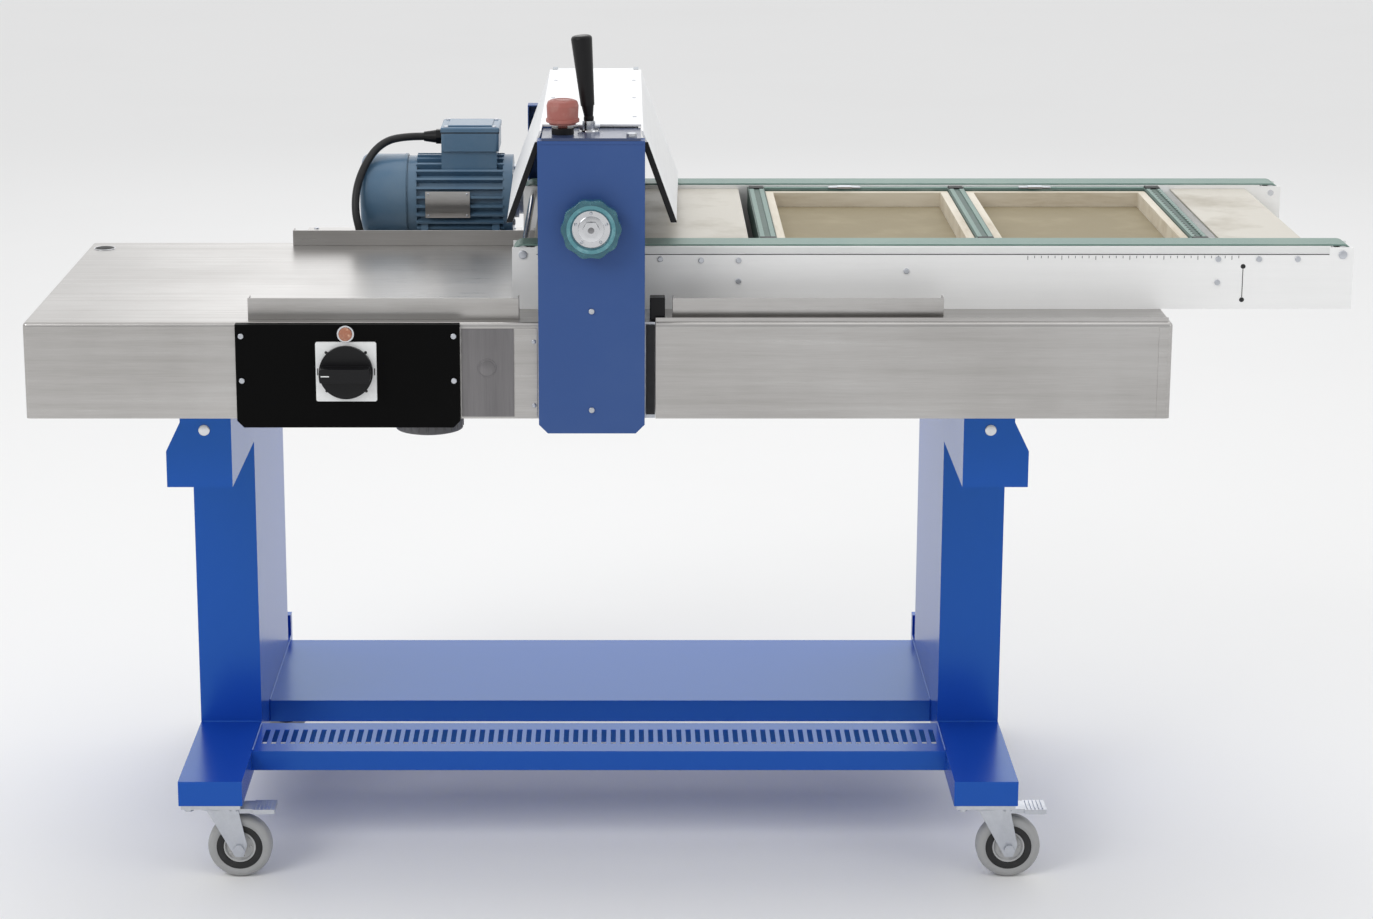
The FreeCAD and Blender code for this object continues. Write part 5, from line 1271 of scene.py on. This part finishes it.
@dataclass
class Drive:
    """Gearmotor, terminal box and the motor's supply lead."""

    axis_y: float = 746.0
    axis_z: float = 981.0
    lead_diameter: float = 13.0
    lead_length: float = 0.27
    route: list[Vector] = field(default_factory=lambda: [
        Vector((-0.4355, 0.33875, 1.0800)), Vector((-0.4775, 0.33475, 1.0805)),
        Vector((-0.5095, 0.31675, 1.0690)), Vector((-0.5305, 0.28875, 1.0420)),
        Vector((-0.5435, 0.26275, 1.0080)), Vector((-0.5455, 0.24675, 0.9700)),
        Vector((-0.5375, 0.23975, 0.9370)), Vector((-0.5315, 0.23875, 0.9090))])
    plate_left: float = -283.0
    plate_width: float = 74.0
    plate_reach: float = 71.2
    plate_arc: tuple[float, float] = (math.radians(166.0), math.radians(202.0))
    foot_spread: float = 61.0
    bell_circle: float = 56.0
    gearbox_axis: tuple[float, float] = (-68.4, 941.0)

    def build(self) -> None:
        """Dresses the drive and adds plates, bolts and the lead."""
        dress(MOTOR_PAINT, "motor_housing", "fan_cowl", edge=0.0)
        dress(MOTOR_PAINT, "terminal_box", "terminal_box_lid", edge=0.6)
        dress(BLACK_PLASTIC, "cable_gland", edge=0.4)
        dress(CAST_METAL, "gearbox_housing", edge=1.0)
        dress(GEAR_STEEL, "motor_rotor", "pinion_shaft")
        self.nameplate()
        self.fixings()
        self.lead()

    def on_motor(self, x: float, radius: float, angle: float) -> Point:
        """The point at x that lies radius from the motor's axis, at angle from +Y towards +Z."""
        return (x, self.axis_y + radius * math.cos(angle), self.axis_z + radius * math.sin(angle))

    def nameplate(self) -> None:
        """A blank plate bent over the fins on the operator's side, with its rivets."""
        left, right = self.plate_left, self.plate_left + self.plate_width
        start, end = self.plate_arc
        angles = [start + (end - start) * k / 8 for k in range(9)]
        inner = [self.on_motor(left, self.plate_reach, angle) for angle in angles]
        outer = [self.on_motor(left, self.plate_reach + 1.4, angle) for angle in angles]
        plate = Piece("motor_plate", STAINLESS, "stainless")
        plate.prism(inner + outer[::-1], (self.plate_width, 0, 0)).done(edge=0.3)
        spots = [self.on_motor(x, self.plate_reach + 1.2, angle) for x in (left + 5, right - 5)
                 for angle in (start + 0.06, end - 0.06)]
        rivets = Piece("motor_plate_rivets", ZINC, "zinc_steel")
        rivets.screw_heads(spots, 2.0, -1.2, Axis.Y).done()

    def fixings(self) -> None:
        """Screws, gasket and dome of the terminal box, then the other fixings."""
        low, high = extents("terminal_box_lid")
        heads = corners_in(low, high, 9, high.z)
        Piece("lid_screws", ZINC, "zinc_steel").screw_heads(heads, 4.0, 2.0, Axis.Z).done()
        seat = extents("terminal_box")[1].z
        gasket = Piece("lid_gasket", MARK_AND_SHADE_BLACK, "black_plastic")
        gasket.block((low.x + 0.4, low.y + 0.4, seat - 1.6), (high.x - 0.4, high.y - 0.4, seat))
        gasket.done(edge=0.3)
        cap = Piece("terminal_box_dome", MOTOR_PAINT, "motor_blue")
        cap.block((low.x + 12, low.y + 12, high.z - 1), (high.x - 12, high.y - 12, high.z + 2.4))
        cap.done(edge=2.0)
        self.motor_fixings()
        self.gearbox_fixings()
        self.cowl_trim()

    def motor_fixings(self) -> None:
        """Bolts in the motor's feet and in its bell."""
        bolts = Piece("motor_bolts", ZINC, "zinc_steel")
        low, high = extents("motor_housing")
        foot_top = extents("motor_deck")[1].z + 10.0
        for x in (low.x + 28, high.x - 28):
            for y in (self.axis_y - self.foot_spread, self.axis_y + self.foot_spread):
                bolts.hexagon((x, y, foot_top), 10.0, 5.0, Axis.Z)
        for dy, dz in round_spots(4, self.bell_circle, math.pi / 4):
            bolts.hexagon((high.x, self.axis_y + dy, self.axis_z + dz), 9.0, 4.0, Axis.X)
        bolts.done()

    def gearbox_fixings(self) -> None:
        """The gearbox's round end cover, its screws and the filler plug."""
        low, high = extents("gearbox_housing")
        x, z = self.gearbox_axis
        cover = [(0.0, 0.0), (42.0, 0.0), (41.0, 3.0), (20.0, 3.6), (18.0, 5.4), (0.0, 5.4)]
        Piece("gearbox_cover", CAST_METAL, "gearbox_metal").turned(
            cover, (x, high.y, z), Axis.Y, 48).done()
        screws = Piece("gearbox_screws", ZINC, "zinc_steel")
        for dx, dz in round_spots(6, 35.0):
            screws.hexagon((x + dx, high.y + 3.0, z + dz), 8.0, 4.0, Axis.Y)
        middle = (low.x + high.x) / 2
        screws.hexagon((middle - 14, self.axis_y, self.axis_z + 31.5), 12.0, 7.0, Axis.Z)
        screws.done()

    def cowl_trim(self) -> None:
        """Rings on the cowl's end and a band round its mouth."""
        low, high = extents("fan_cowl")
        grille = Piece("cowl_grille", MOTOR_PAINT, "motor_blue")
        centre = (low.x + 1.2, self.axis_y, self.axis_z)
        for radius in (24.0, 32.0, 40.0):
            grille.ring(centre, radius + 1.1, radius - 1.1, -1.8, Axis.X)
        grille.done()
        band = Piece("cowl_band", MOTOR_PAINT, "motor_blue")
        band.ring((high.x - 5, self.axis_y, self.axis_z), 70.0, 68.6, 3.6, Axis.X, 72).done()

    def lead(self) -> None:
        """The supply lead from the gland down through the deck."""
        data = bpy.data.curves.new("motor_lead", "CURVE")
        data.dimensions = "3D"
        spline = data.splines.new("NURBS")
        spline.points.add(len(self.route) - 1)
        for point, place in zip(spline.points, self.route):
            point.co = (*place, 1.0)
        spline.order_u = 3
        spline.use_endpoint_u = True
        spline.resolution_u = 24
        data.bevel_depth = self.lead_diameter / 2 * MM
        data.bevel_resolution = 8
        data.use_fill_caps = True
        data.materials.append(CABLE_BLACK.material())
        lead = bpy.data.objects.new("motor_lead", data)
        bpy.context.scene.collection.objects.link(lead)
        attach(lead, "machine")
        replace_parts(lead, "motor_cable")
        foot = (self.route[-1] - DATUM) / MM
        grommet = [(7.0, 0.0), (12.5, 0.0), (12.0, 2.6), (9.5, 4.0), (7.0, 3.4)]
        Piece("deck_grommet", BLACK_PLASTIC, "black_plastic").turned(
            grommet, (foot.x, foot.y, extents("motor_deck")[1].z), Axis.Z, 32, closed=True).done()
        log.info("piece motor_lead on machine")


@dataclass
class Bed:
    """Rails, belts, bed plates, tray frame and the two trays."""

    plate_band: float = 9.0
    tick_start: float = 640.0
    tick_end: float = 950.0
    ticks: int = 32
    slot_mark: float = 957.0
    rail_inset: float = 36.0
    rail_front: float = 93.0
    rail_bottom: float = 927.0
    rail_top: float = 1021.0
    frame_left: float = 248.0
    crossbar: float = 27.0
    pockets: tuple[float, float] = (298.0, 293.0)
    clips: tuple[float, float] = (405.0, 715.0)
    perforations: int = 26
    tray_wall: float = 13.0
    tray_floor: float = 5.0

    def build(self) -> None:
        """Dresses the bed and adds rail bands, marks, the painted shade in the rail grooves, pads
        and the painted shade on the tray floors.
        """
        dress(ALUMINIUM, "bed_rails", edge=0.5)
        dress(BELT_GREEN, "bed_belts")
        dress(PLATE_BEIGE, "bed_plates", edge=0.4)
        dress(FRAME_TEAL, "tray_frame", edge=0.6)
        dress(TRAY_TIMBER, "tray_left", "tray_right", edge=0.8)
        dress(POLISHED, "drive_pulleys", "tail_pulleys")
        self.rail_details()
        self.frame_details()
        self.tray_details()

    def rail_details(self) -> None:
        """The pale band under each belt, a thin black strip of painted shade for the groove below
        it, rule marks, slot and end caps.
        """
        low, high = extents("bed_rails")
        faces = ((low.y, -1), (high.y, 1))
        band = Piece("rail_bands", BAND_WHITE, "aluminium")
        groove_shade = Piece("rail_groove_shade", MARK_AND_SHADE_BLACK, "black_plastic")
        for y, side in faces:
            left, right = low.x + self.rail_inset, high.x - self.rail_inset
            near, far = sorted((y, y + side * 0.9))
            band.block((left, near, self.rail_top - 1 - self.plate_band),
                       (right, far, self.rail_top - 1.2))
            near, far = sorted((y, y + side * 0.25))
            # Painted shade: a thin black strip stands in for the shadow in the rail's groove.
            groove_shade.block((left, near, self.rail_top - 12.6), (right, far, self.rail_top - 11.4))
        band.done(edge=0.3)
        groove_shade.done()
        marks = Piece("rule_marks", MARK_AND_SHADE_BLACK, "black_plastic")
        near, far = self.rail_front - 0.3, self.rail_front + 0.1
        top, bottom = self.rail_top - 14, self.rail_bottom
        for k in range(self.ticks):
            x = self.tick_start + (self.tick_end - self.tick_start) * k / (self.ticks - 1)
            drop = 6.0 if k % 5 == 0 else 3.6
            marks.block((x - 0.35, near, top - drop), (x + 0.35, far, top))
        x = self.slot_mark
        for z in (bottom + 14, bottom + 64):
            marks.disc((x, far, z), 3.6, -0.5, Axis.Y, 0.2, 20)
        marks.block((x - 0.5, near, bottom + 18), (x + 0.5, far, bottom + 60))
        marks.done()
        ends = Piece("pulley_axle_ends", ZINC, "zinc_steel")
        for node in ("drive_pulleys", "tail_pulleys"):
            pulley = extents(node)
            x, z = (pulley[0].x + pulley[1].x) / 2, (pulley[0].z + pulley[1].z) / 2
            for y, side in faces:
                ends.disc((x, y, z), 6.4, side * 2.2, Axis.Y, 1.2, 24)
        ends.done()

    def bars(self) -> list[float]:
        """The left end of each of the tray frame's crossbars.

        Returns:
            Three distances in X.
        """
        first = self.frame_left
        second = first + self.crossbar + self.pockets[0]
        third = second + self.crossbar + self.pockets[1]
        return [first, second, third]

    def frame_details(self) -> None:
        """Belting strips on the frame's bars, dark end pads, clips and the perforated bar."""
        low, high = extents("tray_frame")
        top = high.z
        strips = Piece("frame_strips", BELT_GREEN, "belt_green")
        pads = Piece("frame_pads", MARK_AND_SHADE_BLACK, "black_plastic")
        for x in self.bars():
            for left in (x + 2, x + self.crossbar - 9):
                strips.block((left, low.y + 26, top - 0.2), (left + 7, high.y - 26, top + 1.6))
            for y in (low.y + 2, high.y - 22):
                pads.block((x + 2, y, top - 0.2), (x + self.crossbar - 2, y + 20, top + 2.6))
        for y in (low.y + 6, high.y - 16):
            for start, run in zip(self.bars(), self.pockets):
                left = start + self.crossbar
                strips.block((left, y, top - 0.2), (left + run, y + 10, top + 1.4))
        strips.done(edge=0.4)
        pads.done(edge=0.8)
        clips = Piece("frame_clips", ZINC, "zinc_steel")
        for x in self.clips:
            clips.block((x - 26, high.y - 20, top + 0.8), (x + 26, high.y - 9, top + 3.0))
            clips.block((x - 12, high.y - 23, top + 1.0), (x + 12, high.y - 8, top + 4.2))
        clips.done(edge=0.6)
        holes = Piece("bar_perforations", MARK_AND_SHADE_BLACK, "black_plastic")
        x = self.bars()[2] + self.crossbar / 2
        for k in range(self.perforations):
            y = low.y + 34 + (high.y - low.y - 68) * k / (self.perforations - 1)
            for dx, dy in ((-5.0, 0.0), (5.0, 2.5)):
                holes.disc((x + dx, y + dy, top + 1.5), 1.9, 0.4, Axis.Z, 0.0, 14)
        holes.done()

    def tray_details(self) -> None:
        """A darker khaki sheet on each tray's floor, painted shade for the shadow inside the tray
        walls, and the cross-grained ends of its rim.
        """
        for side in ("left", "right"):
            low, high = extents("tray_" + side)
            body = "tray_" + side
            wall = self.tray_wall
            # Painted shade: a darker khaki sheet on the tray floor where the walls shade it.
            shade_sheet = Piece("tray_floor_shade_" + side, PAINTED_TRAY_SHADE, "tray_wood", body)
            floor = low.z + self.tray_floor
            shade_sheet.block((low.x + wall + 0.6, low.y + wall + 0.6, floor - 0.4),
                      (high.x - wall - 0.6, high.y - wall - 0.6, floor + 1.6)).done(edge=0.6)
            ends = Piece("tray_rim_" + side, TRAY_TIMBER_ACROSS, "tray_wood", body)
            for x in (low.x + 0.3, high.x - wall + 0.3):
                ends.block((x, low.y + wall, high.z - 0.4),
                           (x + wall - 0.6, high.y - wall, high.z + 0.5))
            ends.done(edge=0.3)


# ------------------------------------------------------------------ studio
@dataclass
class Studio:
    """Floor, soft lights, world and camera."""

    distance: float = 4.300
    height: float = 1.886
    aside: float = 0.048
    tilt: float = 13.08
    lens: float = 79.9
    shift_across: float = 0.0448
    shift_up: float = -0.080
    floor_reach: float = 60.0
    world_strength: float = 1.05
    world_dim: Colour = (0.42, 0.425, 0.43)
    lamps_aim: tuple[float, float, float] = (0.0, 0.0, 0.7)
    lamps: tuple = (("key", (-3.4, -3.4, 3.8), 2.4, 74.0), ("fill", (3.6, -2.6, 2.4), 2.2, 14.0),
                    ("top", (0.4, 0.9, 3.9), 3.0, 22.0), ("behind", (0.2, 5.2, 3.4), 4.0, 20.0))

    def build(self) -> None:
        """Makes everything that isn't part of the machine."""
        self.floor()
        self.world()
        self.lights()
        self.camera()

    def floor(self) -> None:
        """A pale floor that reaches the horizon."""
        mesh = bmesh.new()
        corners = [mesh.verts.new((x, y, 0.0)) for x, y in ((-1, -1), (1, -1), (1, 1), (-1, 1))]
        for corner in corners:
            corner.co *= self.floor_reach
        mesh.faces.new(corners)
        data = bpy.data.meshes.new("studio_floor")
        mesh.to_mesh(data)
        mesh.free()
        data.materials.append(FLOOR_PAPER.material())
        floor = bpy.data.objects.new("studio_floor", data)
        bpy.context.scene.collection.objects.link(floor)

    def world(self) -> None:
        """Pale light from all round, weaker from the operator's side."""
        world = bpy.data.worlds.new("studio_world")
        world.use_nodes = True
        graph = Graph(world.node_tree)
        direction = graph.add("ShaderNodeTexCoord").outputs["Generated"]
        parts = graph.add("ShaderNodeSeparateXYZ", {0: direction})
        behind = graph.span(parts.outputs["Y"], -0.7, 0.6, 0.0, 1.0)
        above = graph.span(parts.outputs["Z"], 0.1, 0.9, 0.0, 0.75)
        share = graph.math("MAXIMUM", behind, above)
        colour = graph.blend(share, rgba(self.world_dim), (1.0, 1.0, 1.0, 1.0))
        graph.feed(world.node_tree.nodes["Background"].inputs,
                   {"Color": colour, "Strength": self.world_strength})
        bpy.context.scene.world = world

    def lights(self) -> None:
        """A key from the upper left, a fill from the right, a soft top light and one behind."""
        for name, place, size, power in self.lamps:
            data = bpy.data.lights.new(name, "AREA")
            data.size = size
            data.energy = power
            light = bpy.data.objects.new(name, data)
            light.location = place
            aim = Vector(self.lamps_aim) - light.location
            light.rotation_euler = aim.to_track_quat("-Z", "Y").to_euler()
            bpy.context.scene.collection.objects.link(light)
        bpy.context.scene.view_settings.view_transform = "Standard"

    def camera(self) -> None:
        """A long lens in front of the machine, a little above it and tilted down."""
        data = bpy.data.cameras.new("camera")
        data.lens = self.lens
        data.sensor_width = 36.0
        data.shift_x = self.shift_across
        data.shift_y = self.shift_up
        camera = bpy.data.objects.new("camera", data)
        camera.location = (DATUM.x + self.aside, DATUM.y - self.distance, self.height)
        camera.rotation_euler = (math.radians(90.0 - self.tilt), 0.0, 0.0)
        bpy.context.scene.collection.objects.link(camera)
        bpy.context.scene.camera = camera


def main() -> None:
    """Builds the sub-assemblies from the floor up, then the studio."""
    logging.basicConfig(level=logging.INFO, format="%(name)s: %(message)s")
    for assembly in (Stand(), Casters(), Base(), Head(), Drive(), Bed(), Studio()):
        log.info("building %s", type(assembly).__name__)
        assembly.build()


if __name__ == "__main__":
    main()
